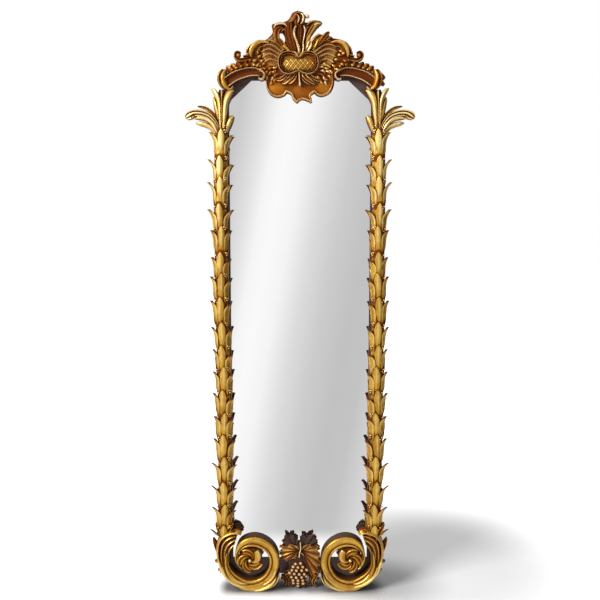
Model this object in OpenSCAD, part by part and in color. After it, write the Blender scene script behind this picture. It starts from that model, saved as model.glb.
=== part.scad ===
// Pier mirror: a tall floor-standing looking glass in a carved and gilded frame.
// Origin: on the floor, at the middle of the width and of the depth. +X right, +Y to the wall, +Z up.

/* [Overall] */
// Height from the floor to the top of the finial
height = 2100; // [1800:10:2400]
// Distance between the axes of the two palm columns
column_spacing = 554; // [500:2:640]

/* [Frame] */
// Thickness of the stiles and rails
frame_t = 30; // [28:1:40]
// Width of each stile
stile_w = 50; // [46:1:60]
// Height of the bottom rail
rail_h = 58; // [52:1:70]
// Clear height under the stiles, which the feet of the bottom rail bridge
rail_clear = 47; // [40:1:60]
// Width of each foot of the bottom rail, behind the scrolls
foot_w = 100; // [60:5:120]
// Thickness of the lip in front of the glass
lip_t = 8; // [6:1:10]
// Width of the glass rebate behind the lip
rebate_w = 10; // [8:1:12]
// Width of the back board rebate
board_lap = 22; // [20:1:24]
// Width of the cut corner at the top of the glass
corner_w = 80; // [60:1:90]
// Height of the cut corner at the top of the glass
corner_h = 74; // [60:1:90]
// Thickness of the tenons
tenon_t = 12; // [8:1:14]
// Length of the tenons
tenon_l = 30; // [20:1:34]

/* [Glass and back] */
// Thickness of the mirror glass
glass_t = 5; // [3:1:6]
// Thickness of the back board
board_t = 6; // [4:1:8]
// Number of screws along each long edge of the back board
side_screws = 7; // [4:1:12]
// Shank diameter of the back board screws
screw_d = 4; // [3:0.5:5]

/* [Palm columns] */
// Diameter of the bare trunk
trunk_d = 42; // [36:1:48]
// Height from one whorl of leaves to the next
whorl_pitch = 45; // [38:1:56]
// How far the blades stand off the trunk
leaf_t = 4; // [2:0.5:6]
// How far the leaf tips curl out to the sides
leaf_curl = 24; // [12:1:26]
// Height of the capital of long leaves
capital_h = 138; // [120:1:150]

/* [Scrolls] */
// Depth of the bottom scrolls in front of the frame
scroll_depth = 62; // [50:1:70]
// Width of the widest part of the scroll band
band_w = 42; // [36:1:44]
// Height of a scroll
scroll_h = 211; // [200:1:224]

/* [Crest] */
// Thickness of the crest board
crest_t = 18; // [14:1:22]
// Relief of the carving in front of the crest board
relief = 26; // [18:1:32]
// Width of the lattice cushion
cushion_w = 118; // [100:1:124]
// Height of the lattice cushion
cushion_h = 48; // [40:1:54]

/* [Grapes] */
// Diameter of one grape
grape_d = 16; // [12:1:18]
// Depth of the block that carries the leaves and the grapes
boss_t = 24; // [18:1:30]

/* [Hangers] */
// Height of the hangers above the floor, as a share of the height
hanger_share = 0.72; // [0.6:0.01:0.8]
// Wire diameter of the hanging ring
ring_wire = 4; // [3:0.5:5]
// Inner width of the hanging ring
ring_w = 22; // [18:1:24]
// Clearance between the ring and its eye
ring_play = 0.08; // [0.05:0.01:0.1]
// Thickness of the hanger's strap
strap_t = 2; // [1.5:0.5:3]

/* [Hidden] */

fit = 0.2;                                    // clearance of joinery and screws
front = frame_t / 2 - 1;                      // front face of the frame and seat of the carving
back = front + frame_t;                       // back face of the frame
axis_x = column_spacing / 2;                  // column axis
axis_y = front - trunk_d / 2 + 1;             // the trunk is cut flat where it meets the stile
sight_x = axis_x - stile_w / 2;               // edge of the visible glass
sight_z0 = rail_clear + rail_h;
sight_z1 = height - 232;
stile_top = height - 264;
crest_z = height - 188;                       // centre of the cartouche
foot_top = 222;                               // the trunk's axis meets the foot leaf here
foot_slope = 0.62;                            // and this is the slope of the joint
column_z1 = height - capital_h - 262;          // the capital stands on the column here
glass_y = front + lip_t;
board_y = glass_y + glass_t + fit;
gold = [0.86, 0.68, 0.30];
old_gold = [0.66, 0.45, 0.18];
bole = [0.42, 0.20, 0.10];
dark_wood = [0.24, 0.17, 0.15];
steel = [0.62, 0.62, 0.64];

// ---- Curves -------------------------------------------------------------------------

// Point i of a list, held at its ends
function at(p, i) = p[max(0, min(len(p) - 1, i))];

// Smooth curve through points of any dimension, n steps to a span
function curve(p, n = 3) = [
    for (i = [0:len(p) - 2], s = [0:n - 1])
        let (a = at(p, i - 1), b = p[i], c = p[i + 1], d = at(p, i + 2), t = s / n)
        0.5 * (2 * b + (c - a) * t + (2 * a - 5 * b + 4 * c - d) * t * t
            + (3 * b - a - 3 * c + d) * t * t * t),
    p[len(p) - 1]
];

function ellipse_arc(cx, cz, rx, rz, a0, a1, n) = [
    for (i = [0:n]) let (a = a0 + (a1 - a0) * i / n) [cx + rx * cos(a), cz + rz * sin(a)]
];

function flip(p) = [for (i = [len(p) - 1:-1:0]) [-p[i][0], p[i][1]]];

// Unit direction across a path at point i
function across(p, i) =
    let (d = at(p, i + 1) - at(p, i - 1), l = max(norm([d[0], d[1]]), 0.001))
    [-d[1] / l, d[0] / l];

// ---- Carving ------------------------------------------------------------------------

// Cross-sections: [share of the half width, share of the depth]
ridge_section = [[-1, 0], [0, 1], [1, 0]];
round_section = [[-1, 0], [-0.85, 0.6], [0, 1], [0.85, 0.6], [1, 0]];
bold_section = [[-1, 0], [-1, 0.6], [-0.5, 0.95], [0.5, 0.95], [1, 0.6], [1, 0]];
band_section = [
    [-1, 0], [-1, 0.9], [-0.7, 1], [0, 0.96], [0.2, 0.88], [0.4, 0.95], [0.8, 0.93], [1, 0.8],
    [1, 0]
];
channel_section = [
    [-1, 0], [-1, 0.85], [-0.85, 1], [-0.66, 0.85], [-0.6, 0.55], [0.6, 0.55], [0.66, 0.85],
    [0.85, 1], [1, 0.85], [1, 0]
];

// Section of a carved rib at station i of path [x, z, half width, depth], floor is the lowest z
function station(path, i, section, lift, floor = -9999) =
    let (n = across(path, i), p = path[i])
    [for (q = section) [
        p[0] + n[0] * q[0] * p[2],
        front - lift - q[1] * p[3],
        max(floor, p[1] + n[1] * q[0] * p[2])
    ]];

module wrap(points)
    hull() polyhedron(points = points, faces = [[for (i = [0:len(points) - 1]) i]]);

// A rib carved along a path, from convex sections
module rib(path, section = round_section, lift = 0)
    for (i = [0:len(path) - 2])
        wrap(concat(station(path, i, section, lift), station(path, i + 1, section, lift)));

// A closed skin over rings of equal length
module skin(rings) {
    n = len(rings[0]);
    last = len(rings) - 1;
    polyhedron(
        points = [for (r = rings, p = r) p],
        faces = concat(
            [[for (j = [0:n - 1]) j]],
            [for (i = [0:last - 1], j = [0:n - 1])
                let (k = (j + 1) % n, a = i * n, b = a + n)
                each [[a + j, b + j, b + k], [a + j, b + k, a + k]]],
            [[for (j = [n - 1:-1:0]) last * n + j]]
        ),
        convexity = 10
    );
}

// A plate with its back at the given distance in front of the frame
module plate(t, lift = 0)
    translate([0, front - lift, 0]) rotate([90, 0, 0]) linear_extrude(t) children();

// The space that a carved piece takes, to cut its neighbours back
module clear_of(outline) plate(200, -60) polygon(outline);

// Pieces are drawn for the left side
module side(s) if (s < 0) children(); else mirror([1, 0, 0]) children();

// ---- Frame --------------------------------------------------------------------------

foot_x = axis_x - 83;                         // middle of a foot of the bottom rail

// Outline of the visible glass, grown outwards by e
function sight(e) =
    let (
        l = norm([corner_w, corner_h]),
        x = sight_x + e,
        z = sight_z1 + e,
        cz = sight_z1 - corner_h + e * (l - corner_h) / corner_w,
        cx = sight_x - corner_w + e * (l - corner_w) / corner_h
    )
    [[-x, sight_z0 - e], [x, sight_z0 - e], [x, cz], [cx, z], [-cx, z], [-x, cz]];

module slab(y, t) translate([0, y + t, 0]) rotate([90, 0, 0]) linear_extrude(t) children();

module rebates() {
    slab(glass_y, glass_t + fit) polygon(sight(rebate_w));
    slab(board_y, back) polygon(sight(board_lap));
}

tenon_y = front + (frame_t - tenon_t) / 2;
low_tenon = [rail_clear + 6, rail_h - board_lap - 8];       // bottom and height
high_tenon = [stile_top - 34, 34];                          // open at the top of the stile

module tenon(zh, play = 0)
    translate([sight_x - 1, tenon_y - play, zh[0] - play])
        cube([tenon_l + 1 + play, tenon_t + 2 * play, zh[1] + 2 * play]);

screw_x = sight_x + (rebate_w + board_lap) / 2;
screw_z = [for (i = [0:side_screws - 1])
    sight_z0 + 30 + (sight_z1 - corner_h - sight_z0 - 60) * i / (side_screws - 1)];
rail_screw_x = [-0.7, 0, 0.7] * (sight_x - corner_w);
screw_l = board_t + 10;

// Places of the back board screws
module at_board_screws() {
    for (s = [-1, 1], z = screw_z) translate([s * screw_x, board_y + board_t, z]) children();
    for (x = rail_screw_x, z = [sight_z0 - (screw_x - sight_x), sight_z1 + (screw_x - sight_x)])
        translate([x, board_y + board_t, z]) children();
}

module screw_hole() rotate([90, 0, 0]) translate([0, 0, -board_t]) cylinder(
    d = screw_d + fit, h = screw_l + board_t + 1, $fn = 24);

shoulder = [16, 60];                          // cut off the stile's outer top corner

module stile(s) color(dark_wood)
    difference() {
        x = sight_x + stile_w;
        scale([s, 1, 1]) slab(front, frame_t) polygon([
            [sight_x, rail_clear], [x, rail_clear], [x, stile_top - shoulder[1]],
            [x - shoulder[0], stile_top], [sight_x, stile_top]
        ]);
        rebates();
        for (zh = [low_tenon, high_tenon]) scale([s, 1, 1]) tenon(zh, fit);
        at_board_screws() screw_hole();
        hanger_holes();
    }

// Upper edge of the top rail, behind the arms and the shell
rail_edge = curve([
    [-sight_x, stile_top + 14], [-205, crest_z - 26], [-150, crest_z - 8],
    [-105, crest_z + 46], [0, crest_z + 62]
], 3);

module top_rail() color(dark_wood)
    difference() {
        union() {
            slab(front, frame_t) difference() {
                polygon(concat([[-sight_x, sight_z1 - corner_h]], rail_edge, flip(rail_edge),
                    [[sight_x, sight_z1 - corner_h]]));
                polygon(sight(0));
            }
            for (s = [0, 1]) mirror([s, 0, 0]) tenon(high_tenon);
        }
        rebates();
        at_board_screws() screw_hole();
    }

module bottom_rail() color(dark_wood)
    difference() {
        union() {
            translate([-sight_x, front, rail_clear]) cube([2 * sight_x, frame_t, rail_h]);
            for (s = [-1, 1]) translate([s * foot_x - foot_w / 2, front, 0])
                cube([foot_w, frame_t, rail_clear + 1]);
            for (s = [0, 1]) mirror([s, 0, 0]) tenon(low_tenon);
        }
        rebates();
        at_board_screws() screw_hole();
    }

module mirror_glass() color([0.85, 0.87, 0.88])
    slab(glass_y, glass_t) polygon(sight(rebate_w - 1));

module back_board() color([0.55, 0.42, 0.28])
    difference() {
        slab(board_y, board_t) polygon(sight(board_lap - 1));
        at_board_screws() screw_hole();
    }

// A round-headed wood screw, its head at the origin towards +Y
module wood_screw(d, l) rotate([90, 0, 0]) {
    cylinder(d = d, h = l, $fn = 24);
    translate([0, 0, -0.55 * d]) cylinder(d1 = 1.3 * d, d2 = 2 * d, h = 0.55 * d, $fn = 24);
}

module back_screws() color(steel) at_board_screws() wood_screw(screw_d, screw_l);

// ---- Palm columns -------------------------------------------------------------------

// A whorl has three leaves, 120 degrees apart, and the next whorl is turned by 60 degrees.
// Angles round the trunk, 0 to the front: a tip, its shoulder, the notch's shoulder, a notch
bearing = [-120, -78, -60, -42, -18, 0, 18, 42, 60, 78, 120];

// Angle from the nearest leaf's midrib, 0 to 60
function off_rib(a, k) = let (b = abs(a) + ((k + 1) % 2) * 60, c = b % 120) min(c, 120 - c);

// Value for a midrib, shoulder, notch shoulder or notch
function by_place(t, v) = lookup(t, [[0, v[0]], [18, v[1]], [42, v[2]], [60, v[3]]]);

// A point at bearing a and radius r from the trunk's axis
function round_trunk(a, r, z) = [r * sin(a) - axis_x, min(front, axis_y - r * cos(a)), z];

// The two corners of the flat back at height z
function flat_back(z) = [for (s = [1, -1]) [s * trunk_d / 3 - axis_x, front, z]];

// Ring of whorl k: shares of the blade, of the curl and of the pitch below the tip, by place
function leaf_ring(k, z_tip, stand_off, curl, drop, back_drop) = concat(
    [for (a = bearing) let (t = off_rib(a, k), side_share = 0.55 + 0.45 * abs(sin(a)))
        round_trunk(a,
            trunk_d / 2 + by_place(t, stand_off) * leaf_t
                + by_place(t, curl) * leaf_curl * side_share,
            z_tip - by_place(t, drop) * whorl_pitch)],
    flat_back(z_tip - back_drop * whorl_pitch)
);

// Rings of the bare trunk: a level one, and the sloping one at the foot
function plain_ring(r, z) = concat([for (a = bearing) round_trunk(a, r, z)], flat_back(z));
function foot_z(x) = foot_top + foot_slope * (x + axis_x);
function foot_ring(r) = [for (p = plain_ring(r, 0)) [p[0], p[1], foot_z(p[0])]];

whorls = floor((column_z1 - foot_z(trunk_d / 2 - axis_x) - 4) / whorl_pitch - 0.42);

module palm_trunk()
    skin(concat(
        [foot_ring(trunk_d / 2)],
        [for (k = [0:whorls - 1]) let (z = column_z1 - (whorls - 1 - k) * whorl_pitch) each [
            leaf_ring(k, z, [1, 0.9, 0.5, 0.2], [0.05, 0, 0, 0], [0.62, 0.72, 1.25, 1.42], 1.44),
            leaf_ring(k, z, [1.2, 0.9, 0.6, 0.3], [0.9, 0.35, 0, 0], [0, 0.34, 1.06, 1.34], 1.4),
            leaf_ring(k, z, [0, 0, 0, 0], [0, 0, 0, 0], [0.45, 0.6, 1.2, 1.4], 1.36)
        ]],
        [plain_ring(trunk_d / 2 - 3, column_z1)]
    ));

module column(s) color(gold) side(s) palm_trunk();

// The long leaves that crown a column, and the three that curl out to the side
module capital(s) color(gold) side(s) difference() {
    long_leaves(-axis_x, column_z1);
    translate([-axis_x - 60, front - 200, column_z1 - 60]) cube([120, 400, 60]);
}

module long_leaves(x, z) {
    // core
    hull() {
        translate([x - 15, axis_y - 14, z]) cube([30, front - axis_y + 14, 1]);
        translate([x - 9, axis_y, z + capital_h - 12]) cube([18, front - axis_y, 1]);
    }
    // curling leaves: lower, main, upper
    rib(curve([[x - 8, z, 9, 30], [x - 34, z + 24, 8, 28], [x - 64, z + 28, 7, 26],
        [x - 92, z + 15, 3, 18]], 2), bold_section, 2);
    rib(curve([[x - 6, z, 9, 38], [x - 28, z + 38, 9, 38], [x - 62, z + 60, 9, 38],
        [x - 98, z + 64, 9, 36], [x - 122, z + 51, 9, 34], [x - 122, z + 34, 7, 30],
        [x - 110, z + 30, 4, 26]], 2), bold_section);
    rib(curve([[x - 4, z + 6, 7, 26], [x - 20, z + 44, 6, 26], [x - 48, z + 70, 5, 24],
        [x - 80, z + 77, 2, 16]], 2), round_section, 2);
    // upright leaves: outer pair, midrib, inner one and the tip on the glass side
    rib([[x - 8, z, 8, 24], [x - 20, z + 62, 9, 26], [x - 33, z + 110, 3, 18]]);
    rib(curve([[x - 2, z, 8, 38], [x - 8, z + 58, 10, 40], [x - 19, z + 104, 8, 36],
        [x - 35, z + capital_h, 2, 26]], 2));
    rib([[x + 3, z + 40, 4, 34], [x + 4, z + capital_h - 6, 3, 30]]);
    rib(curve([[x + 5, z, 9, 36], [x + 10, z + 58, 11, 40], [x + 19, z + 104, 11, 38],
        [x + 34, z + capital_h - 9, 5, 28]], 2));
    rib([[x + 14, z, 8, 24], [x + 28, z + 16, 8, 28], [x + 43, z + 38, 2, 20]]);
}

// ---- Bottom scrolls and their leaves -------------------------------------------------

scroll_x = -axis_x + 106;
scroll_z = scroll_h / 2 - 1;                  // its underside is cut flat at the floor

// The band grows out of the foot leaf, runs under, round and over, and winds into the rosette.
// Angle round the scroll, outer radius as a share of its height, half width as a share of band_w
scroll_turn = [
    [156, 0.524, 0.10], [171, 0.521, 0.17], [186, 0.515, 0.21], [206, 0.515, 0.33],
    [229, 0.515, 0.45], [252, 0.518, 0.50], [284, 0.487, 0.51], [328, 0.428, 0.42],
    [361, 0.441, 0.43], [395, 0.469, 0.44], [424, 0.486, 0.47], [451, 0.498, 0.46],
    [478, 0.474, 0.36], [500, 0.408, 0.19], [520, 0.360, 0.14], [538, 0.303, 0.12],
    [560, 0.235, 0.08]
];
scroll_path = [for (t = curve(scroll_turn, 2)) let (w = t[2] * band_w, r = t[1] * scroll_h - w)
    [scroll_x + r * cos(t[0]), scroll_z + r * sin(t[0]), w, scroll_depth]];

module scroll(s) color(gold) side(s)
    skin([for (i = [0:len(scroll_path) - 1]) station(scroll_path, i, band_section, 0, 0)]);

// One edge of a path, for the pieces that meet it
function edge(path, k) = [for (i = [0:len(path) - 1])
    let (n = across(path, i), w = path[i][2] + 0.3)
    [path[i][0] + n[0] * k * w, path[i][1] + n[1] * k * w]];

function both_edges(path) = let (e = edge(path, -1))
    concat(edge(path, 1), [for (i = [len(e) - 1:-1:0]) e[i]]);

rosette_c = [scroll_x - 15, scroll_z + 15];
rosette_r = 43;
rosette_deck = scroll_depth - 18;             // where the lobes rise from the drum

// Leaf lobes swirl round a boss
module rosette(s) color(gold) side(s) difference() {
    union() {
        plate(rosette_deck) translate(rosette_c) circle(r = rosette_r - 7, $fn = 24);
        for (k = [0:4])
            rib([for (i = [0:3]) let (q = i / 3, b = 72 * k + 110 * q, r = 6 + (rosette_r - 11) * q)
                [rosette_c[0] + r * cos(b), rosette_c[1] + r * sin(b),
                    3 + 10 * sin(150 * q), 13 - 5 * q]],
                ridge_section, rosette_deck - 1);
        plate(15, rosette_deck - 1) translate(rosette_c) circle(r = 7, $fn = 8);
    }
    clear_of(both_edges(scroll_path));
}

foot_curl = [
    [-axis_x + 6, 48, 13, 48], [-axis_x - 16, 88, 13, 50], [-axis_x - 26, 140, 10, 52],
    [-axis_x - 20, 188, 10, 54], [-axis_x + 6, 214, 12, 54], [-axis_x + 34, 224, 13, 54],
    [-axis_x + 53, 222, 5, 48]
];

// The round leaf that lies on the glass side of the foot, flat on the frame
back_leaf = ellipse_arc(-axis_x + 47, 231, 20, 20, 0, 330, 11);

// Where the trunk stands on the foot leaf
function trunk_foot() = [for (k = [[-1, 0], [1, 0], [1, 1], [-1, 1]])
    let (x = k[0] * (trunk_d / 2 + leaf_t) - axis_x) [x, foot_z(x) + k[1] * 100]];

module foot_leaf(s) color(gold) side(s) difference() {
    x = -axis_x;
    union() {
        // the long curl and the three ribs inside it
        rib(curve(foot_curl, 2), bold_section);
        for (k = [0:2])
            rib([[x + 8 + 3 * k, 52 + 10 * k, 8, 40], [x - 9 + 9 * k, 104, 6, 42],
                [x - 10 + 10 * k, 150 - 4 * k, 6, 42], [x + 6 + 8 * k, 182 - 15 * k, 6, 42],
                [x + 30 + 2 * k, 205 - 20 * k, 3, 36]]);
        // ground between the ribs
        rib([[x + 6, 44, 16, 24], [x - 4, 110, 20, 24], [x + 6, 160, 22, 24], [x + 22, 205, 14, 24]],
            bold_section);
        // lower leaves that lap the start of the band
        rib([[x - 16, 96, 10, 52], [x + 4, 62, 13, 54], [x + 30, 30, 7, 52]]);
        // leaf tips on the outside
        rib([[x - 18, 118, 8, 30], [x - 36, 160, 8, 28], [x - 48, 184, 1.5, 22]]);
        rib([[x - 14, 92, 8, 34], [x - 45, 87, 1, 22]]);
        rib([[x - 4, 64, 8, 34], [x - 22, 60, 1.5, 22]]);
        plate(12) polygon(back_leaf);
    }
    clear_of(trunk_foot());
    clear_of(both_edges(scroll_path));
    clear_of(ellipse_arc(rosette_c[0], rosette_c[1], rosette_r + 1, rosette_r + 1, 0, 345, 23));
    translate([x - 200, front - 200, -20]) cube([400, 400, 20]);
}

// ---- Grapes and vine leaves ----------------------------------------------------------

grape_x = -7;
grape_z = 70;
room = (axis_x - 199) / 78;                   // share of the usual gap between the scrolls
boss = ellipse_arc(0, 92, 45 * room, 74, 0, 345, 23);

// A vine leaf, r long from its stalk to its middle tip, with five lobes
function vine_leaf(r) = [for (i = [0:20]) let (a = -150 + 15 * i)
    r * (0.52 + 0.4 * pow(abs(cos(2.5 * a)), 0.7) * (1 - abs(a) / 300)) * [sin(a), cos(a)]];

// Leaves: x, z, length, bearing of the middle tip, distance in front of the frame
vine = [
    [-36, 168, 48, 35, 6], [30, 168, 48, -35, 6], [-46, 132, 46, 75, 18], [44, 120, 48, -70, 18],
    [-42, 40, 42, 130, 8], [50, 46, 46, -150, 8], [-50, 88, 34, 100, 2], [54, 84, 30, -95, 2]
];

module vine_leaves() color(old_gold) difference() {
    union() {
        plate(boss_t) polygon(boss);
        for (v = vine)
            plate(6, v[4]) translate([v[0] * room, v[1]]) rotate(v[3])
                polygon(vine_leaf(v[2] * room));
        rib(curve([[-4, 128, 3, 8], [5, 152, 3, 10], [3, 176, 2.5, 8]], 2), round_section,
            boss_t - 1);
    }
    for (s = [-1, 1]) side(s) clear_of(both_edges(scroll_path));
    translate([-200, front - 100, -40]) cube([400, 200, 40]);
}

// Rows of grapes, packed like coins, narrowing to the bottom
grape_rows = [2, 3, 4, 5, 4, 5, 4, 3, 2, 1];

module grape_cluster() color([0.55, 0.33, 0.16]) {
    step = grape_d * 0.62;
    n = len(grape_rows);
    difference() {
        union() {
            for (j = [0:n - 1], i = [0:grape_rows[j] - 1]) let (
                x = (i - (grape_rows[j] - 1) / 2) * grape_d * 0.92,
                z = grape_z + (n / 2 - 0.5 - j) * step,
                d = norm([x / 40, (z - grape_z) / 54])
            )
                translate([grape_x + x, front - boss_t - 16 * (1 - d * d), z])
                    rotate([0, 0, 20 * i]) sphere(d = grape_d, $fn = 5);
            wrap(concat(
                [for (p = ellipse_arc(grape_x, grape_z, 30, 40, 0, 315, 7))
                    [p[0], front - boss_t, p[1]]],
                [for (p = ellipse_arc(grape_x, grape_z, 14, 20, 0, 315, 7))
                    [p[0], front - boss_t - 14, p[1]]]
            ));
        }
        translate([-100, front - boss_t, -20]) cube([200, 60, 260]);
        translate([-100, front - 100, -40]) cube([200, 200, 40]);
    }
}

// ---- Crest ---------------------------------------------------------------------------

// Centre line of an arm: from its outer end over the cut corner to its inner curl
arm_path = curve([
    [-axis_x + 17, crest_z - 56, 17, 34], [-axis_x + 42, crest_z - 38, 17, 36],
    [-210, crest_z - 27, 16.5, 36], [-172, crest_z - 18, 15, 36], [-142, crest_z - 21, 12, 34],
    [-128, crest_z - 31, 6, 30]
], 3);

// The leafy scroll that closes the outer end of an arm
arm_end = curve([
    [-axis_x + 30, crest_z - 78, 3, 28], [-axis_x + 4, crest_z - 66, 7, 38],
    [-axis_x - 10, crest_z - 46, 8, 40], [-axis_x - 2, crest_z - 26, 7, 38],
    [-axis_x + 14, crest_z - 18, 3, 28]
], 2);

module arm(s) color(old_gold) side(s)
    skin([for (i = [0:len(arm_path) - 1]) station(arm_path, i, channel_section, 0)]);

// The curl beyond each shoulder of the crest
curl_path = curve([
    [-176, crest_z + 34, 7, 26], [-200, crest_z + 31, 8, 28], [-217, crest_z + 39, 7, 30],
    [-215, crest_z + 51, 6, 28], [-205, crest_z + 50, 4, 24]
], 2);

// Berries and leaf tips along the top of an arm, with the scroll at its end
module cresting(s) color(old_gold) difference() {
    side(s) {
        rib(arm_end);
        plate(15) polygon(both_edges([for (i = [1:2:11])
            let (p = arm_path[i], n = across(arm_path, i), d = p[2] + 7)
            [p[0] + n[0] * d, p[1] + n[1] * d, 9]]));
        for (i = [1:8]) let (p = arm_path[i], n = across(arm_path, i), d = p[2] + 12 + 4 * (i % 2))
            translate([p[0] + n[0] * d, front - 12 - 5 * (i % 2), p[1] + n[1] * d])
                sphere(r = 9 + (i % 3), $fn = 5);
    }
    side(s) {
        clear_of(both_edges(arm_path));
        clear_of(both_edges(curl_path));
    }
    clear_of(board_outline());
    slab(front, 60) square([3 * axis_x, 2 * height], center = true);
}

// Silhouette of the crest board: shoulders, shell, plume and finial
function board_outline() = concat(
    curve([[-118, crest_z - 36], [-152, crest_z + 2], [-186, crest_z + 22],
        [-176, crest_z + 62], [-150, crest_z + 82], [-112, crest_z + 86],
        [-90, crest_z + 106], [-92, crest_z + 134], [-66, crest_z + 140], [-34, crest_z + 152],
        [-14, crest_z + 184], [6, crest_z + 186], [18, crest_z + 160], [26, crest_z + 142],
        [60, crest_z + 148], [78, crest_z + 134], [54, crest_z + 112], [42, crest_z + 78],
        [62, crest_z + 84], [98, crest_z + 104], [114, crest_z + 92], [152, crest_z + 90],
        [178, crest_z + 66], [186, crest_z + 22], [152, crest_z + 2], [118, crest_z - 36]], 2)
);

// Both arms, to cut what they pass in front of
module clear_of_arms() for (s = [0, 1]) mirror([s, 0, 0]) clear_of(both_edges(arm_path));

module crest_board() color(bole) difference() {
    plate(crest_t) difference() {
        polygon(board_outline());
        translate([-57, crest_z + 87]) rotate(12) scale([0.5, 1]) circle(r = 20, $fn = 12);
    }
    clear_of_arms();
}

// A leaf that folds over the shoulder of the crest, and the curl beyond it
module shoulder_leaf(s) color(gold) {
    side(s) rib(curve([[-122, crest_z + 80, 4, 12], [-148, crest_z + 77, 8, 20],
        [-170, crest_z + 52, 9, 22], [-190, crest_z + 32, 5, 12]], 2), round_section, crest_t);
    difference() {
        side(s) rib(curl_path);
        clear_of(board_outline());
    }
}

// The lobed frame of the cushion
cart_rx = cushion_w / 2 + 13;
cart_rz = cushion_h / 2 + 16;
lobe_share = 0.64;                            // width of one lobe as a share of the frame's

// Ellipse round the cartouche, g wider than its frame, and the point on it at angle a
function round_cartouche(g, a) = [(cart_rx + g) * cos(a), crest_z + (cart_rz + g) * sin(a)];

// Flutes of the shell: bearing on the cartouche, tip from its centre, half width
flutes = [
    [134, -106, 76, 8], [147, -137, 60, 8], [159, -145, 40, 8], [171, -141, 20, 7],
    [184, -131, 1, 7], [198, -121, -15, 6]
];

module flute(base, tip, w) rib(curve([
    [base[0], base[1], w * 0.5, 8],
    [(base[0] + tip[0]) / 2, (base[1] + tip[1]) / 2 + 6, w, relief * 0.7],
    [tip[0], tip[1], w * 0.6, relief * 0.5]
], 2), round_section, crest_t);

module shell(s) color(old_gold) {
    side(s) for (f = flutes) flute(round_cartouche(6, f[0]), [f[1], crest_z + f[2]], f[3]);
    // the right half has one more, which stands up
    if (s > 0) flute(round_cartouche(8, 50), [96, crest_z + 99], 8);
}

module plume() color(old_gold) {
    z = crest_z;
    // twin ribs of the stem and the finial leaf
    rib(curve([[-1, z + 37, 4, 18], [-7, z + 84, 5, 22], [-14, z + 124, 6, 20],
        [-18, z + 150, 8, 22], [-6, z + 176, 6, 16]], 2), round_section, crest_t);
    rib(curve([[8, z + 50, 3, 14], [11, z + 84, 5, 20], [14, z + 120, 7, 22],
        [20, z + 146, 9, 26], [12, z + 170, 8, 22]], 2), round_section, crest_t);
    // lobes to the left and right
    rib(curve([[-22, z + 56, 5, 12], [-32, z + 104, 7, 16], [-58, z + 130, 8, 20],
        [-83, z + 122, 7, 18], [-80, z + 92, 4, 12]], 2), round_section, crest_t);
    rib(curve([[24, z + 56, 5, 12], [30, z + 100, 8, 18], [48, z + 130, 9, 24],
        [68, z + 138, 7, 20]], 2), round_section, crest_t);
}

module cartouche_lobes() translate([0, crest_z])
    for (k = [-1, 1]) translate([k * cart_rx * (1 - lobe_share), 0])
        scale([lobe_share, cart_rz / cart_rx]) circle(r = cart_rx, $fn = 32);

module cartouche_frame() color(old_gold) difference() {
    plate(relief, crest_t) cartouche_lobes();
    plate(relief + 2, crest_t - 1) translate([0, crest_z]) scale([1, cushion_h / cushion_w])
        circle(d = cushion_w + 2, $fn = 32);
}

// The cushion's dome, swollen by g
module dome(g) {
    ring = ellipse_arc(0, 0, cushion_w / 2, cushion_h / 2, 0, 345, 23);
    wrap([for (q = [[1, 0], [0.92, 10], [0.55, 17]], p = ring)
        [p[0] * q[0], front - crest_t - q[1] - g * min(1, q[1]), crest_z + p[1] * q[0]]]);
}

trellis_step = cushion_w / 7;
trellis_bar = 3;

// A quilted dome: the trellis stands proud of it
module lattice_cushion() color(gold) {
    dome(0);
    intersection() {
        dome(1.5);
        for (k = [-1, 1], i = [-5:5])
            translate([i * trellis_step, front - crest_t - 12, crest_z]) rotate([0, k * 38, 0])
                cube([trellis_bar, 24, 2 * cushion_h], center = true);
    }
}

// The shield that hangs over the glass: two scooped lobes and a forked pendant
apron_outline = concat(
    curve([[-118, crest_z - 30], [-118, crest_z - 70], [-104, crest_z - 94],
        [-80, crest_z - 104], [-56, crest_z - 98], [-46, crest_z - 88]], 3),
    curve([[-32, crest_z - 94], [-25, crest_z - 110], [-10, crest_z - 124]], 2),
    curve([[8, crest_z - 111], [40, crest_z - 122]], 2),
    curve([[42, crest_z - 110], [38, crest_z - 98], [52, crest_z - 88]], 2),
    curve([[60, crest_z - 96], [80, crest_z - 100], [106, crest_z - 88], [120, crest_z - 62],
        [120, crest_z - 30]], 3)
);
leaf_reach = 28;                              // how far the acanthus runs from the cartouche

module crest_apron() color(bole) difference() {
    plate(crest_t) polygon(apron_outline);
    plate(crest_t, crest_t - 5) difference() {
        offset(delta = -5) polygon(apron_outline);
        polygon([for (i = [0:23]) round_cartouche(leaf_reach + 4, 15 * i)]);
    }
    clear_of_arms();
    clear_of(board_outline());
}

module apron_acanthus() color(old_gold) difference() {
    for (k = [-3:3]) let (a = -90 + 19 * k)
        rib([for (q = [[0, 5, 10], [leaf_reach * 0.55, 7, 14], [leaf_reach, 1.5, 8]])
            concat(round_cartouche(q[0], a), [q[1], q[2]])], ridge_section, crest_t);
    plate(200, -60) offset(delta = 0.5) cartouche_lobes();
}

// ---- Hangers ------------------------------------------------------------------------

hanger_z = height * hanger_share;
wire_r = ring_wire / 2;
eye_r = wire_r + ring_play;                   // bore of the strap's rolled eye
eye_y = back + eye_r + strap_t + 2 * fit;     // hinge axis of the ring
eye_w = ring_w - 4;
ring_drop = 28;                               // from the hinge axis to the middle of the bow
strap_holes = [ring_drop + 12, ring_drop + 28];  // down from the hinge axis
strap_l = ring_drop + 38;
hanger_x = sight_x + board_lap + (stile_w - board_lap) / 2;  // on the full thickness of the stile

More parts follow.
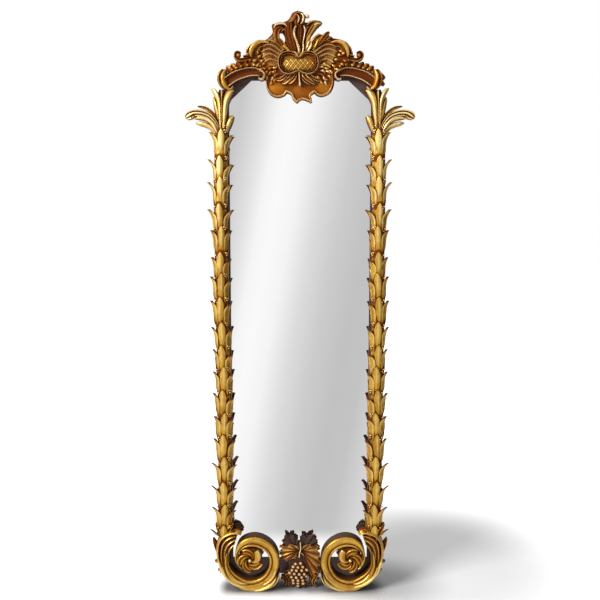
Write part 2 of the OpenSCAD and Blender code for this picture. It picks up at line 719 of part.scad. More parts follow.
module hanger_holes() for (s = [-1, 1], z = strap_holes)
    translate([s * hanger_x, back + 1, hanger_z - z]) rotate([90, 0, 0])
        cylinder(d = screw_d + fit, h = 21, $fn = 24);

module hanger_strap(s) color(steel) translate([s * hanger_x, 0, hanger_z]) difference() {
    union() {
        translate([-eye_w / 2, back, -strap_l]) cube([eye_w, strap_t, strap_l]);
        translate([-eye_w / 2, eye_y, 0]) rotate([0, 90, 0])
            cylinder(r = eye_r + strap_t, h = eye_w, $fn = 32);
        translate([-eye_w / 2, back, -8]) cube([eye_w, eye_y - eye_r - back, 8]);
    }
    translate([-eye_w, eye_y, 0]) rotate([0, 90, 0]) cylinder(r = eye_r, h = 2 * eye_w, $fn = 32);
    for (z = strap_holes) translate([0, back - 1, -z]) rotate([-90, 0, 0])
        cylinder(d = screw_d + fit, h = strap_t + 2, $fn = 24);
}

// D-shaped ring, hanging down from its straight bar
module hanger_ring(s) color(steel) translate([s * hanger_x, eye_y, hanger_z]) {
    r = ring_w / 2 + wire_r;
    leg = ring_drop - r;
    translate([-r, 0, 0]) rotate([0, 90, 0]) cylinder(r = wire_r, h = 2 * r, $fn = 32);
    for (k = [-1, 1]) {
        translate([k * r, 0, -leg]) cylinder(r = wire_r, h = leg, $fn = 32);
        translate([k * r, 0, 0]) sphere(r = wire_r, $fn = 32);
    }
    translate([0, 0, -leg]) rotate([90, 0, 0]) rotate([0, 0, 180])
        rotate_extrude(angle = 180, $fn = 48) translate([r, 0]) circle(r = wire_r, $fn = 32);
}

module hanger_screws() color(steel) for (s = [-1, 1], z = strap_holes)
    translate([s * hanger_x, back + strap_t, hanger_z - z]) wood_screw(screw_d, 20);

// ---- Nodes --------------------------------------------------------------------------

stile(-1);  // left_stile
stile(1);  // right_stile
top_rail();
bottom_rail();
mirror_glass();
back_board();
back_screws();
column(-1);  // left_column
column(1);  // right_column
capital(-1);  // left_capital
capital(1);  // right_capital
scroll(-1);  // left_scroll
scroll(1);  // right_scroll
rosette(-1);  // left_rosette
rosette(1);  // right_rosette
foot_leaf(-1);  // left_foot_leaf
foot_leaf(1);  // right_foot_leaf
vine_leaves();
grape_cluster();
arm(-1);  // left_arm
arm(1);  // right_arm
cresting(-1);  // left_cresting
cresting(1);  // right_cresting
shoulder_leaf(-1);  // left_shoulder_leaf
shoulder_leaf(1);  // right_shoulder_leaf
shell(-1);  // left_shell
shell(1);  // right_shell
crest_board();
plume();
cartouche_frame();
lattice_cushion();
crest_apron();
apron_acanthus();
hanger_strap(-1);  // left_hanger_strap
hanger_strap(1);  // right_hanger_strap
hanger_ring(-1);  // left_hanger_ring
hanger_ring(1);  // right_hanger_ring
hanger_screws();
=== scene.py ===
"""Looks of the pier mirror: carving, gilding, looking glass and the studio round it.

Carving is laid out in millimetres: x to the right, z up, and out from the front face of the
frame, which is the seat of all the carving. The meshes themselves are in metres.
"""

import math
import random

import bpy
import numpy as np
from mathutils import Matrix, Vector


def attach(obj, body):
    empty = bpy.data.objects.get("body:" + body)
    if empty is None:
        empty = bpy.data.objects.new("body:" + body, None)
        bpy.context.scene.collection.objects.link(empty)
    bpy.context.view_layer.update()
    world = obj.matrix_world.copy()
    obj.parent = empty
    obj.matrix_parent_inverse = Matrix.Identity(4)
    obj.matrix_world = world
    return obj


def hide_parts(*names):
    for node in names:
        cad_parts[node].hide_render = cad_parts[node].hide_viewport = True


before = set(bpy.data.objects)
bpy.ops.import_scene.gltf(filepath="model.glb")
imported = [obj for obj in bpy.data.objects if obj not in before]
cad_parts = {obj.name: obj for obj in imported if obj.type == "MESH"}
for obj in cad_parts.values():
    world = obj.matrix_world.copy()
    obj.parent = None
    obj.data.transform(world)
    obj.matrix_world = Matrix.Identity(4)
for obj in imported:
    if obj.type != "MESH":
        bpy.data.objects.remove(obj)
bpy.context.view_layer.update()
scene = bpy.context.scene
random.seed(11)

MM = 0.001  # a millimetre in metres
FRONT = 14.0  # front face of the frame, along y
AXIS_X, AXIS_Y = 277.0, -6.0  # axis of a palm column
COLUMN_FOOT, COLUMN_TOP = 210.0, 1700.0
TRUNK_R = 18.0  # trunk of a column, under its leaves
CREST_Z = 1912.0  # centre of the cartouche
BOARD_T = 18.0  # thickness of the crest board
SHARP_OVER = 50  # degrees past which an edge of a board is softened
SMOOTH_UNDER = 48  # degrees up to which carving is shaded smooth

# ---- Sections of carving: share of the half width, share of the depth, gilding left, with painted side light in SOFT ---

RIDGES = [
    (-1, 0, 0.05), (-1, 0.74, 0.35), (-0.95, 0.88, 0.9), (-0.80, 0.97, 1.1), (-0.62, 0.95, 0.9),
    (-0.50, 0.86, 0.42), (-0.42, 0.80, 0.22), (-0.33, 0.87, 0.5), (-0.20, 0.97, 1.0),
    (0, 1.0, 1.15), (0.20, 0.97, 0.95), (0.33, 0.87, 0.45), (0.42, 0.80, 0.2),
    (0.50, 0.86, 0.42), (0.64, 0.95, 0.9), (0.80, 0.96, 0.95), (0.95, 0.86, 0.7),
    (1, 0.72, 0.3), (1, 0, 0.05),
]
# SOFT keeps more gilding on its left side than on its right: a painted side light.
SOFT = [
    (-1, 0, 0.1), (-1, 0.62, 0.4), (-0.90, 0.84, 0.9), (-0.66, 0.96, 1.1), (-0.34, 1.0, 1.1),
    (0, 0.98, 1.0), (0.30, 0.92, 0.9), (0.60, 0.84, 0.8), (0.88, 0.70, 0.6), (1, 0.50, 0.3),
    (1, 0, 0.1),
]
FOLD = [
    (-1, 0, 0.1), (-1, 0.70, 0.4), (-0.93, 0.92, 0.9), (-0.74, 1.0, 1.1), (-0.50, 0.90, 0.75),
    (-0.22, 0.76, 0.55), (-0.04, 0.72, 0.40), (0.06, 0.80, 0.55), (0.28, 0.88, 0.75),
    (0.56, 0.92, 0.8), (0.80, 0.90, 0.85), (0.95, 0.80, 0.6), (1, 0.60, 0.3), (1, 0, 0.1),
]
CHANNEL = [
    (-1, 0, 0.04), (-1, 0.84, 0.35), (-0.97, 0.95, 1.0), (-0.88, 1.0, 1.0), (-0.79, 0.95, 0.9),
    (-0.72, 0.80, 0.35), (-0.68, 0.62, 0.22), (-0.40, 0.56, 0.30), (0, 0.54, 0.32),
    (0.40, 0.56, 0.30), (0.68, 0.62, 0.22), (0.72, 0.80, 0.35), (0.79, 0.95, 0.9),
    (0.88, 1.0, 1.0), (0.97, 0.95, 1.0), (1, 0.84, 0.35), (1, 0, 0.04),
]
BAND = [
    (-1, 0, 0.0), (-1, 0.45, 0.0), (-1, 0.83, 0.03), (-0.97, 0.885, 0.4), (-0.90, 0.935, 0.8),
    (-0.76, 0.972, 0.62), (-0.50, 0.99, 0.86), (-0.22, 0.975, 0.74), (0.08, 0.94, 0.55),
    (0.28, 0.90, 0.40), (0.38, 0.860, 0.2), (0.46, 0.88, 0.38), (0.56, 0.915, 0.7),
    (0.70, 0.925, 0.82), (0.84, 0.91, 0.7), (0.92, 0.86, 0.45), (1, 0.78, 0.15), (1, 0.40, 0.0),
    (1, 0, 0.0),
]
ROUND = [
    (-math.cos(math.pi * i / 12), math.sin(math.pi * i / 12) ** 0.8,
     min(1, 0.1 + i * (12 - i) / 18))
    for i in range(13)
]


# ---- Making and joining pieces ------------------------------------------------------------


def deselect():
    bpy.ops.object.select_all(action="DESELECT")


def pick(*pieces):
    deselect()
    for piece in pieces:
        piece.select_set(True)
    bpy.context.view_layer.objects.active = pieces[0]


def edit(piece, work):
    """Runs work() in edit mode on all of a piece."""
    pick(piece)
    bpy.ops.object.mode_set(mode="EDIT")
    bpy.ops.mesh.select_all(action="SELECT")
    work()
    bpy.ops.object.mode_set(mode="OBJECT")


def weld():
    """Closes the seam and the ends of laid rings, and turns the faces outwards."""
    bpy.ops.mesh.remove_doubles(threshold=3e-6)
    bpy.ops.mesh.fill_holes(sides=0)
    bpy.ops.mesh.delete_loose()
    bpy.ops.mesh.select_all(action="SELECT")
    bpy.ops.mesh.normals_make_consistent(inside=False)


def gild(piece, gilt_and_painted_light):
    """How much gilding is left at each vertex, from 0, bare wood, to 1, burnished leaf. It also
    carries painted light: highlights and shade laid into the values, such as on the side of a ball
    that faces the room.
    """
    layer = piece.data.attributes.get("gilt_and_painted_light") or piece.data.attributes.new("gilt_and_painted_light", "FLOAT", "POINT")
    values = np.broadcast_to(np.asarray(gilt_and_painted_light, np.float32), (len(piece.data.vertices),))
    layer.data.foreach_set("value", np.ascontiguousarray(values))
    return piece


def places(piece):
    """Where the vertices are, in metres."""
    co = np.empty(len(piece.data.vertices) * 3)
    piece.data.vertices.foreach_get("co", co)
    return co.reshape(-1, 3)


def move_to(piece, co):
    piece.data.vertices.foreach_set("co", np.ascontiguousarray(co, float).ravel())
    piece.data.update()


def lay(name, rings, gilt_and_painted_light, thick=0.0):
    """A grid laid on rings [row, point, (x, out, z)]. With a thickness it is an open sheet.
    Otherwise each ring is closed, and the whole is welded into a solid."""
    rings = np.asarray(rings, float)
    gilt_and_painted_light = np.broadcast_to(np.asarray(gilt_and_painted_light, float), rings.shape[:2])
    if not thick:
        rings = np.concatenate([rings, rings[:, :1]], axis=1)
        gilt_and_painted_light = np.concatenate([gilt_and_painted_light, gilt_and_painted_light[:, :1]], axis=1)
    rows, cols = rings.shape[:2]
    deselect()
    bpy.ops.mesh.primitive_grid_add(x_subdivisions=cols - 1, y_subdivisions=rows - 1, size=1)
    piece = bpy.context.object
    piece.name = name
    co = places(piece)
    across = np.rint((co[:, 0] + 0.5) * (cols - 1)).astype(int)
    along = np.rint((co[:, 1] + 0.5) * (rows - 1)).astype(int)
    p = rings[along, across]
    move_to(piece, np.stack([p[:, 0], FRONT - p[:, 1], p[:, 2]], 1) * MM)
    gild(piece, gilt_and_painted_light[along, across])
    if not thick:
        edit(piece, weld)
        return piece
    facing_the_wall = np.mean([f.normal.y * f.area for f in piece.data.polygons]) > 0
    if facing_the_wall:
        edit(piece, bpy.ops.mesh.flip_normals)
    thicken(piece, thick)
    return piece


def thicken(piece, thick):
    """Gives a sheet its wall, away from the face that is seen."""
    pick(piece)
    bpy.ops.object.modifier_add(type="SOLIDIFY")
    solidify = piece.modifiers[-1]
    solidify.thickness = thick * MM
    solidify.offset = -1
    bpy.ops.object.modifier_apply(modifier=solidify.name)


def soften(piece, width, segments=2):
    """Rounds the sharp edges of a piece."""
    pick(piece)
    bpy.ops.object.modifier_add(type="BEVEL")
    bevel = piece.modifiers[-1]
    bevel.width = width * MM
    bevel.segments = segments
    bevel.limit_method = "ANGLE"
    bevel.angle_limit = math.radians(SHARP_OVER)
    bpy.ops.object.modifier_apply(modifier=bevel.name)


def curve(points, steps):
    """A smooth curve through points of any dimension."""
    p = np.asarray(points, float)
    last = len(p) - 1
    rows = []
    for i in range(last):
        a, b, c, d = p[max(i - 1, 0)], p[i], p[i + 1], p[min(i + 2, last)]
        for t in np.arange(steps) / steps:
            rows.append(
                0.5 * (2 * b + (c - a) * t + (2 * a - 5 * b + 4 * c - d) * t**2
                       + (3 * b - a - 3 * c + d) * t**3)
            )
    rows.append(p[last])
    return np.array(rows)


def across_path(p):
    """Unit directions across a path, to its left."""
    d = np.gradient(p[:, :2], axis=0)
    d /= np.maximum(np.hypot(d[:, 0], d[:, 1]), 1e-9)[:, None]
    return np.stack([-d[:, 1], d[:, 0]], 1)


def carve(name, path, section, lift=0.0, steps=6, low=-math.inf, gilt_and_painted_light=1.0):
    """A strip of carving along a path of (x, z, half width, depth), lifted off its seat."""
    least_half, least_depth = 0.2, 0.5
    p = curve(path, steps) if steps > 1 else np.asarray(path, float)
    s = np.asarray(section, float)
    n = across_path(p)
    w = np.maximum(p[:, 2, None], least_half) * s[:, 0]
    x = p[:, 0, None] + n[:, 0, None] * w
    z = np.maximum(p[:, 1, None] + n[:, 1, None] * w, low)
    out = lift + np.maximum(p[:, 3, None], least_depth) * s[:, 1]
    return lay(name, np.stack([x, out, z], 2), np.broadcast_to(s[:, 2] * gilt_and_painted_light, x.shape))


def tapered(points, width, depth, tip):
    """A leaf's path: its width swells from the base and closes to a share of it at the tip."""
    p = np.asarray(points, float)
    t = np.linspace(0, 1, len(p))
    swell = np.interp(t, [0, 0.45, 0.8, 1], [0.6, 1, 0.7, tip])
    fall = np.interp(t, [0, 0.5, 1], [0.8, 1, 0.6])
    return np.column_stack([p, width * swell, depth * fall])


def copy_of(template, place):
    """A copy with its own mesh, placed by a matrix."""
    piece = template.copy()
    piece.data = template.data.copy()
    piece.data.transform(place)
    scene.collection.objects.link(piece)
    return piece


def ball_at(template, x, z, out, r=1.0):
    """A copy of a ball, r times as large, with its centre out from the front of the frame."""
    place = Matrix.Translation((x * MM, (FRONT - out) * MM, z * MM))
    return copy_of(template, place @ Matrix.Scale(r, 4))


def discard(*pieces):
    for piece in pieces:
        bpy.data.objects.remove(piece, do_unlink=True)


def gather(name, parts):
    """Joins the parts into one piece."""
    pick(*parts)
    if len(parts) > 1:
        bpy.ops.object.join()
    parts[0].name = name
    return parts[0]


def other_hand(piece, name):
    """The right-hand twin of a left-hand piece."""
    twin = piece.copy()
    twin.data = piece.data.copy()
    twin.name = name
    scene.collection.objects.link(twin)
    move_to(twin, places(twin) * (-1, 1, 1))
    edit(twin, bpy.ops.mesh.flip_normals)
    return twin


def board(name, outline, depth, lift, gilt_and_painted_light, edge):
    """A sawn board with softened edges, its outline in (x, z)."""
    outline = np.asarray(outline, float)
    deselect()
    bpy.ops.mesh.primitive_circle_add(vertices=len(outline), radius=1, fill_type="NGON")
    piece = bpy.context.object
    piece.name = name
    y = np.full(len(outline), (FRONT - lift - depth) * MM)
    move_to(piece, np.column_stack([outline[:, 0] * MM, y, outline[:, 1] * MM]))

    def raise_board():
        bpy.ops.mesh.extrude_region_move(
            TRANSFORM_OT_translate={"value": (0, depth * MM, 0)}
        )
        bpy.ops.mesh.select_all(action="SELECT")
        bpy.ops.mesh.normals_make_consistent(inside=False)

    edit(piece, raise_board)
    soften(piece, edge)
    return gild(piece, gilt_and_painted_light)


def round_ball(name, r, highlight_span, segments, rings):
    """A ball with painted light: a painted highlight of gilding on the side that faces the room,
    and painted shade of dark bare wood round it. Over the span of highlight_span, from a quarter
    turn, 0, to full face, 1, it goes from none to all."""
    deselect()
    bpy.ops.mesh.primitive_uv_sphere_add(segments=segments, ring_count=rings, radius=r * MM)
    piece = bpy.context.object
    piece.name = name
    piece.data.transform(Matrix.Rotation(math.radians(90), 4, "X"))
    # painted highlight: the more a point faces the room, the more gilt it shows
    facing = -places(piece)[:, 1] / (r * MM)
    return gild(piece, np.clip((facing - highlight_span[0]) / (highlight_span[1] - highlight_span[0]), 0, 1))


# ---- Finishes -----------------------------------------------------------------------------


def finish_named(name):
    """A new finish: its material, its node tree and its shader."""
    material = bpy.data.materials.new(name)
    material.use_nodes = True
    tree = material.node_tree
    return material, tree, tree.nodes["Principled BSDF"]


def add(tree, kind, sockets=None, **settings):
    """A new node. Each socket takes a value or the output that is joined to it."""
    made = tree.nodes.new(kind)
    for key, value in settings.items():
        setattr(made, key, value)
    for key, value in (sockets or {}).items():
        if isinstance(value, bpy.types.NodeSocket):
            tree.links.new(value, made.inputs[key])
        else:
            made.inputs[key].default_value = value
    return made


def arithmetic(tree, operation, *values):
    return add(tree, "ShaderNodeMath", dict(enumerate(values)), operation=operation).outputs[0]


def ranged(tree, value, low, high, to_low=0.0, to_high=1.0):
    """The value, smoothly brought from one range to another."""
    made = add(
        tree, "ShaderNodeMapRange",
        {"Value": value, "From Min": low, "From Max": high, "To Min": to_low, "To Max": to_high},
        interpolation_type="SMOOTHSTEP",
    )
    return made.outputs["Result"]


def mixed(tree, share, a, b):
    """Colour a where the share is 0 and b where it is 1, on the node's two colour sockets."""
    made = add(tree, "ShaderNodeMix", {0: share, 6: a, 7: b}, data_type="RGBA")
    return made.outputs[2]


def rgb(r, g, b):
    return (r, g, b, 1.0)


def noise(tree, scale, detail, rough=0.55, stretch=(1, 1, 1)):
    """Cloudy noise in the object's own space, its grain a metre over scale."""
    coordinates = add(tree, "ShaderNodeTexCoord").outputs["Object"]
    place = add(tree, "ShaderNodeMapping", {"Vector": coordinates, "Scale": stretch})
    return add(
        tree, "ShaderNodeTexNoise",
        {"Vector": place.outputs[0], "Scale": scale, "Detail": detail, "Roughness": rough},
    ).outputs["Fac"]


def bumped(tree, shader, height, strength, distance):
    bump = add(tree, "ShaderNodeBump",
               {"Height": height, "Strength": strength, "Distance": distance})
    tree.links.new(bump.outputs[0], shader.inputs["Normal"])


def gilding(name, bright, leaf, deep, bole, bare, wear, metal=0.6, gloss=0.36, reach=0.012):
    """Gold leaf over bole: worn off the edges; dark in the hollows, where the bole shows and a
    painted shade from ambient occlusion darkens them further; bright where it is rubbed, partly
    burnished leaf and partly a painted highlight in the cream bright colour. The bole gives way to
    gold over the span of wear, and a hollow counts, for the painted shade, if it is narrower than
    reach, in metres."""
    fine_carving, fleck = 0.008, 0.22
    bare_below, covered_above = 0.03, 0.16
    bole_gloss, varnish = 0.55, 0.05
    material, tree, shader = finish_named(name)
    gilt_and_painted_light = add(tree, "ShaderNodeAttribute", attribute_name="gilt_and_painted_light").outputs["Fac"]
    # Painted shade: ambient occlusion pulls the hollows towards the bole, harder on fine carving.
    hollow = add(tree, "ShaderNodeAmbientOcclusion", {"Distance": reach}, samples=8,
                 only_local=True).outputs["AO"]
    hollow = arithmetic(tree, "POWER", hollow, 1.3 if reach > fine_carving else 1.9)
    patches = arithmetic(tree, "SUBTRACT", noise(tree, 110, 4), 0.5)
    tone = ranged(tree, noise(tree, 20, 3), 0.36, 0.64)
    shown = arithmetic(tree, "MULTIPLY", gilt_and_painted_light, hollow)
    shown = arithmetic(tree, "ADD", shown, arithmetic(tree, "MULTIPLY", patches, fleck))
    gold = ranged(tree, shown, *wear)
    # Painted highlight: the highest gilding turns to the cream bright colour.
    burnish_and_highlight = ranged(tree, shown, wear[1] + 0.08, 1.15)
    covered = ranged(tree, gilt_and_painted_light, bare_below, covered_above)
    colour = mixed(tree, tone, rgb(*deep), rgb(*leaf))
    colour = mixed(tree, burnish_and_highlight, colour, rgb(*bright))
    colour = mixed(tree, gold, rgb(*bole), colour)
    colour = mixed(tree, covered, rgb(*bare), colour)
    gold = arithmetic(tree, "MULTIPLY", gold, covered)
    tree.links.new(colour, shader.inputs["Base Color"])
    tree.links.new(arithmetic(tree, "MULTIPLY", gold, metal), shader.inputs["Metallic"])
    tree.links.new(ranged(tree, gold, 0, 1, bole_gloss, gloss), shader.inputs["Roughness"])
    shader.inputs["Specular IOR Level"].default_value = varnish
    bumped(tree, shader, noise(tree, 300, 4), 0.08, 0.0005)
    return material


def timber(name, dark, light, along, gloss=0.5, scale=60):
    """Wood with its grain along one axis."""
    material, tree, shader = finish_named(name)
    stretch = [1.0, 1.0, 1.0]
    stretch[along] = 0.06
    grain = noise(tree, scale, 8, 0.65, stretch)
    broad = noise(tree, scale / 6, 3, 0.5, stretch)
    share = arithmetic(tree, "ADD", arithmetic(tree, "MULTIPLY", grain, 0.7),
                       arithmetic(tree, "MULTIPLY", broad, 0.3))
    share = ranged(tree, share, 0.36, 0.64)
    tree.links.new(mixed(tree, share, rgb(*dark), rgb(*light)), shader.inputs["Base Color"])
    tree.links.new(ranged(tree, share, 0, 1, gloss + 0.1, gloss), shader.inputs["Roughness"])
    bumped(tree, shader, grain, 0.15, 0.0008)
    return material


ALONG_X, ALONG_Z = 0, 2
BARE = (0.055, 0.031, 0.015)
# The first colour of each gilding is the cream of its painted highlight.
column_gilt = gilding("yellow_gold_leaf", (0.92, 0.69, 0.28), (0.58, 0.33, 0.045),
                      (0.42, 0.20, 0.018), (0.140, 0.032, 0.004), BARE, wear=(0.25, 0.6))
pale_gilt = gilding("pale_gold_leaf", (0.93, 0.75, 0.39), (0.66, 0.41, 0.09),
                    (0.48, 0.26, 0.035), (0.150, 0.045, 0.006), BARE, wear=(0.22, 0.6))
crest_gilt = gilding("antique_gold_leaf", (0.95, 0.78, 0.50), (0.60, 0.34, 0.075),
                     (0.35, 0.125, 0.011), (0.120, 0.026, 0.003), (0.05, 0.018, 0.008),
                     wear=(0.30, 0.66), reach=0.008)
copper_ground = gilding("copper_brown_ground", (0.66, 0.34, 0.06), (0.42, 0.150, 0.012),
                        (0.27, 0.075, 0.006), (0.15, 0.034, 0.004), (0.05, 0.018, 0.008),
                        metal=0.4, wear=(0.20, 0.80))
grape_gilt = gilding("cream_gold_on_brown", (0.95, 0.72, 0.42), (0.58, 0.29, 0.055),
                     (0.36, 0.13, 0.015), (0.085, 0.022, 0.008), (0.062, 0.036, 0.028),
                     metal=0.35, gloss=0.34, wear=(0.35, 0.75), reach=0.006)
stile_wood = timber("dark_stained_stile", (0.030, 0.013, 0.009), (0.065, 0.028, 0.018), ALONG_Z)
rail_wood = timber("dark_stained_rail", (0.035, 0.014, 0.010), (0.080, 0.032, 0.022), ALONG_X)
raw_board = timber("raw_back_board", (0.30, 0.19, 0.10), (0.46, 0.32, 0.18), ALONG_Z, 0.7, 40)


def silvering():
    material, tree, shader = finish_named("silvered_glass")
    haze = noise(tree, 5, 2)
    tree.links.new(mixed(tree, haze, rgb(0.94, 0.94, 0.94), rgb(0.97, 0.965, 0.965)),
                   shader.inputs["Base Color"])
    shader.inputs["Metallic"].default_value = 1.0
    tree.links.new(ranged(tree, haze, 0.3, 0.7, 0.012, 0.03), shader.inputs["Roughness"])
    return material


def bright_steel():
    material, tree, shader = finish_named("plated_steel")
    scuffs = noise(tree, 260, 6, 0.6, (1, 1, 0.2))
    tree.links.new(mixed(tree, scuffs, rgb(0.42, 0.42, 0.43), rgb(0.62, 0.62, 0.62)),
                   shader.inputs["Base Color"])
    shader.inputs["Metallic"].default_value = 0.95
    tree.links.new(ranged(tree, scuffs, 0.3, 0.7, 0.26, 0.42), shader.inputs["Roughness"])
    return material


def dress(material, *nodes):
    """Finish for CAD nodes that stay as they are."""
    for name in nodes:
        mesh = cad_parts[name].data
        mesh.materials.clear()
        mesh.materials.append(material)


def hang(piece, material, slot, *nodes):
    """The finished piece takes the place of its CAD nodes."""
    piece.data.materials.clear()
    piece.data.materials.append(material)
    pick(piece)
    bpy.ops.object.shade_smooth_by_angle(angle=math.radians(SMOOTH_UNDER))
    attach(piece, "frame")
    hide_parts(*nodes)


def hang_pair(piece, material, slot, node):
    """Left piece, and its twin on the right."""
    twin = other_hand(piece, piece.name.replace("left", "right"))
    hang(piece, material, slot, "left_" + node)
    hang(twin, material, slot, "right_" + node)


dress(stile_wood, "left_stile", "right_stile")
dress(rail_wood, "top_rail", "bottom_rail")
dress(silvering(), "mirror_glass")
dress(raw_board, "back_board")
dress(bright_steel(), "back_screws", "hanger_screws", "left_hanger_strap", "right_hanger_strap",
      "left_hanger_ring", "right_hanger_ring")

# ---- Palm columns -------------------------------------------------------------------------

WHORLS = 18
PITCH = 85.0  # from one whorl to the next
COLUMN_SPREAD = 1.17  # how much wider a column is than its leaves alone
# Section of a blade: share of its half width, rise, gilding left. The front row keeps more gilding
# on its left side: a painted side light.
FRONT_ROW = [
    (-1, -0.4, 0.25), (-0.93, 0.5, 0.55), (-0.75, 0.8, 0.8), (-0.45, 1.1, 0.85), (-0.15, 1.7, 0.9),
    (0, 2.0, 1.0), (0.15, 1.7, 0.85), (0.45, 1.1, 0.72), (0.75, 0.8, 0.66), (0.93, 0.5, 0.5),
    (1, -0.4, 0.25),
]
SIDE_ROW = [
    (-1, -0.4, 0.3), (-0.92, 1.0, 0.85), (-0.74, 1.2, 0.95), (-0.42, 0.6, 0.75),
    (-0.14, -0.4, 0.62), (0, -0.8, 0.48), (0.14, -0.4, 0.62), (0.42, 0.6, 0.75),
    (0.74, 1.2, 0.95), (0.92, 1.0, 0.85), (1, -0.4, 0.3),
]


def girth(z):
    """The leaves of the lowest whorl are a fifth larger than those at the column's top."""
    lowest = 250
    return 1.2 - 0.2 * (z - lowest) / (COLUMN_TOP - lowest)


def palm_blade(name, length, half, row, curl, droop=0.0, point=0.3, blunt=0.6, thick=4.0,
               dark_tip=1.0):
    """One leaf on the trunk's axis, facing the room, with its tip at z 0. Its upper half bends
    out by curl and over by droop. Over the last share of its length, point, it narrows to
    blunt, and dark_tip is how much of its gilding the tip keeps."""
    back = [(0.55, 0, 0.05), (0, 0, 0.05), (-0.55, 0, 0.05)]
    behind = np.array([0.0] * len(row) + [1.0] * len(back))
    row = np.asarray(row + back, float)
    s, rise, gilt_and_painted_light = row[:, 0], row[:, 1], row[:, 2]
    t = np.linspace(0, 1, 18)[:, None]
    swell = half * np.interp(t, [0, 0.5, 0.75, 1], [0.7, 0.95, 1.0, 1.0])
    swell = np.maximum(blunt, swell * np.minimum(1, (1 - t) / point + 0.01) ** 0.6)
    stand = TRUNK_R - 4 + 7.0 * np.minimum(1, t / 0.45) ** 0.9
    bend = np.maximum(0, (t - 0.5) / 0.5)
    r = stand + curl * bend**2 + rise * (1 - 0.4 * t) - behind * thick * (1 - 0.3 * t)
    angle = s * swell / (TRUNK_R + 4 + curl * bend**2)
    z = -length * (1 - t) - droop * bend**3
    x = r * np.sin(angle)
    y = -r * np.cos(angle)
    wear = np.broadcast_to(gilt_and_painted_light, x.shape) * np.interp(t, [0, 0.2, 0.45, 1], [0.42, 0.7, 0.95, 1])
    wear = wear * np.interp(t, [0, 0.86, 0.95, 1], [1, 1, dark_tip, dark_tip * 0.6])
    rings = np.stack([x, FRONT - y, np.broadcast_to(z, x.shape)], 2)
    return lay(name, rings, wear)


def trunk(tips):
    """The round trunk. Bole shows in a notch below each of the leaf tips."""
    notch_drop, notch_half, notch_end = 9, 10, 22
    z = np.linspace(COLUMN_FOOT + 2, COLUMN_TOP, 200)
    a = np.radians(np.arange(0, 360, 12))
    z, a = np.meshgrid(z, a, indexing="ij")
    r = TRUNK_R + 1.5
    rings = np.stack([-AXIS_X + r * np.sin(a), FRONT - AXIS_Y + r * np.cos(a), z], 2)
    notch = np.min([np.abs(z - tip + notch_drop) for tip in tips], axis=0)
    return lay("trunk", rings, np.interp(notch, [notch_half, notch_end], [0.16, 0.62]))


def whorl(tip, blades):
    """Leaves all round the trunk as (blade, bearing, height from the tip), the first in front."""
    front = blades[0][0]
    pieces = []
    for blade, bearing, drop in blades:
        loose = 0 if blade is front else 8
        turn = math.radians(bearing + random.uniform(-loose, loose))
        size = random.uniform(0.96, 1.04) * girth(tip)
        tilt = Matrix.Rotation(math.radians(random.uniform(-2, 2)), 4, "Y")
        pivot = Matrix.Translation((0, 0, -60 * MM))
        height = tip + drop + random.uniform(-1.2, 0.9) * loose
        place = (
            Matrix.Translation((-AXIS_X * MM, AXIS_Y * MM, height * MM))
            @ Matrix.Rotation(-turn, 4, "Z")
            @ Matrix.Diagonal((size, size, 1, 1))
            @ pivot @ tilt @ pivot.inverted()
        )
        pieces.append(copy_of(blade, place))
    return pieces


NOTCH_BERRIES = [  # bearing, how far below the tip, size
    (-46, 13, 1.0), (40, 5, 1.0), (56, 7, 0.9), (48, 13, 0.9), (-34, 20, 0.7),
]


def palm_column():
    """The left column. Its whorls turn a little to the left and to the right in turn."""
    front = palm_blade("front_blade", 104, 13.0, FRONT_ROW, curl=2.0)
    side = palm_blade("side_blade", 98, 14.5, SIDE_ROW, curl=10.0, droop=3.0, point=0.24,
                      blunt=7.5, thick=7.5, dark_tip=0.3)
    wide = palm_blade("wide_blade", 98, 14.5, SIDE_ROW, curl=18.0, droop=3.0, point=0.26,
                      blunt=7.0, thick=7.5, dark_tip=0.55)
    rear = palm_blade("rear_blade", 80, 13.0, SIDE_ROW, curl=3.0, droop=2.0, point=0.26,
                      blunt=7.0, thick=8.0, dark_tip=0.15)
    berry = round_ball("notch_berry", 3.1, (-0.3, 0.4), 8, 6)
    ends_above, ends_below = 4, 13
    parts, tips = [], []
    for k in range(WHORLS):
        tip = COLUMN_TOP - 2 - k * PITCH + random.uniform(-8, 7) * (k > 0)
        tips.append(tip)
        zigzag = random.uniform(2, 9) * (1 if k % 2 else -1)
        flank = wide if k < ends_above or k > ends_below else side
        parts += whorl(tip, [
            (front, zigzag, 0), (flank, -60, -24), (flank, 60, -14), (rear, 116, -40),
            (rear, -116, -54), (rear, 180, -20),
        ])
        for bearing, drop, size in NOTCH_BERRIES:
            turn = math.radians(bearing + zigzag)
            reach = (TRUNK_R + 3.5) * girth(tip)
            spot = (-AXIS_X + reach * math.sin(turn), AXIS_Y - reach * math.cos(turn), tip - drop)
            place = Matrix.Translation(Vector(spot) * MM) @ Matrix.Scale(size, 4)
            parts.append(copy_of(berry, place))
    discard(front, side, wide, rear, berry)
    piece = gather("left_palm_column", [trunk(tips), *parts])
    co = places(piece)
    gilt_and_painted_light = np.empty(len(co), np.float32)
    piece.data.attributes["gilt_and_painted_light"].data.foreach_get("value", gilt_and_painted_light)
    brighter_upwards = np.interp(co[:, 2], [0.2, 0.45, 1.2, 1.6], [0.95, 1.0, 1.0, 1.25])
    gild(piece, gilt_and_painted_light * brighter_upwards)
    co[:, 0] = (co[:, 0] + AXIS_X * MM) * COLUMN_SPREAD - AXIS_X * MM
    co[:, 1] = np.minimum(co[:, 1], FRONT * MM)
    co[:, 2] = np.clip(co[:, 2], COLUMN_FOOT * MM, (COLUMN_TOP + 4) * MM)
    move_to(piece, co)
    return piece


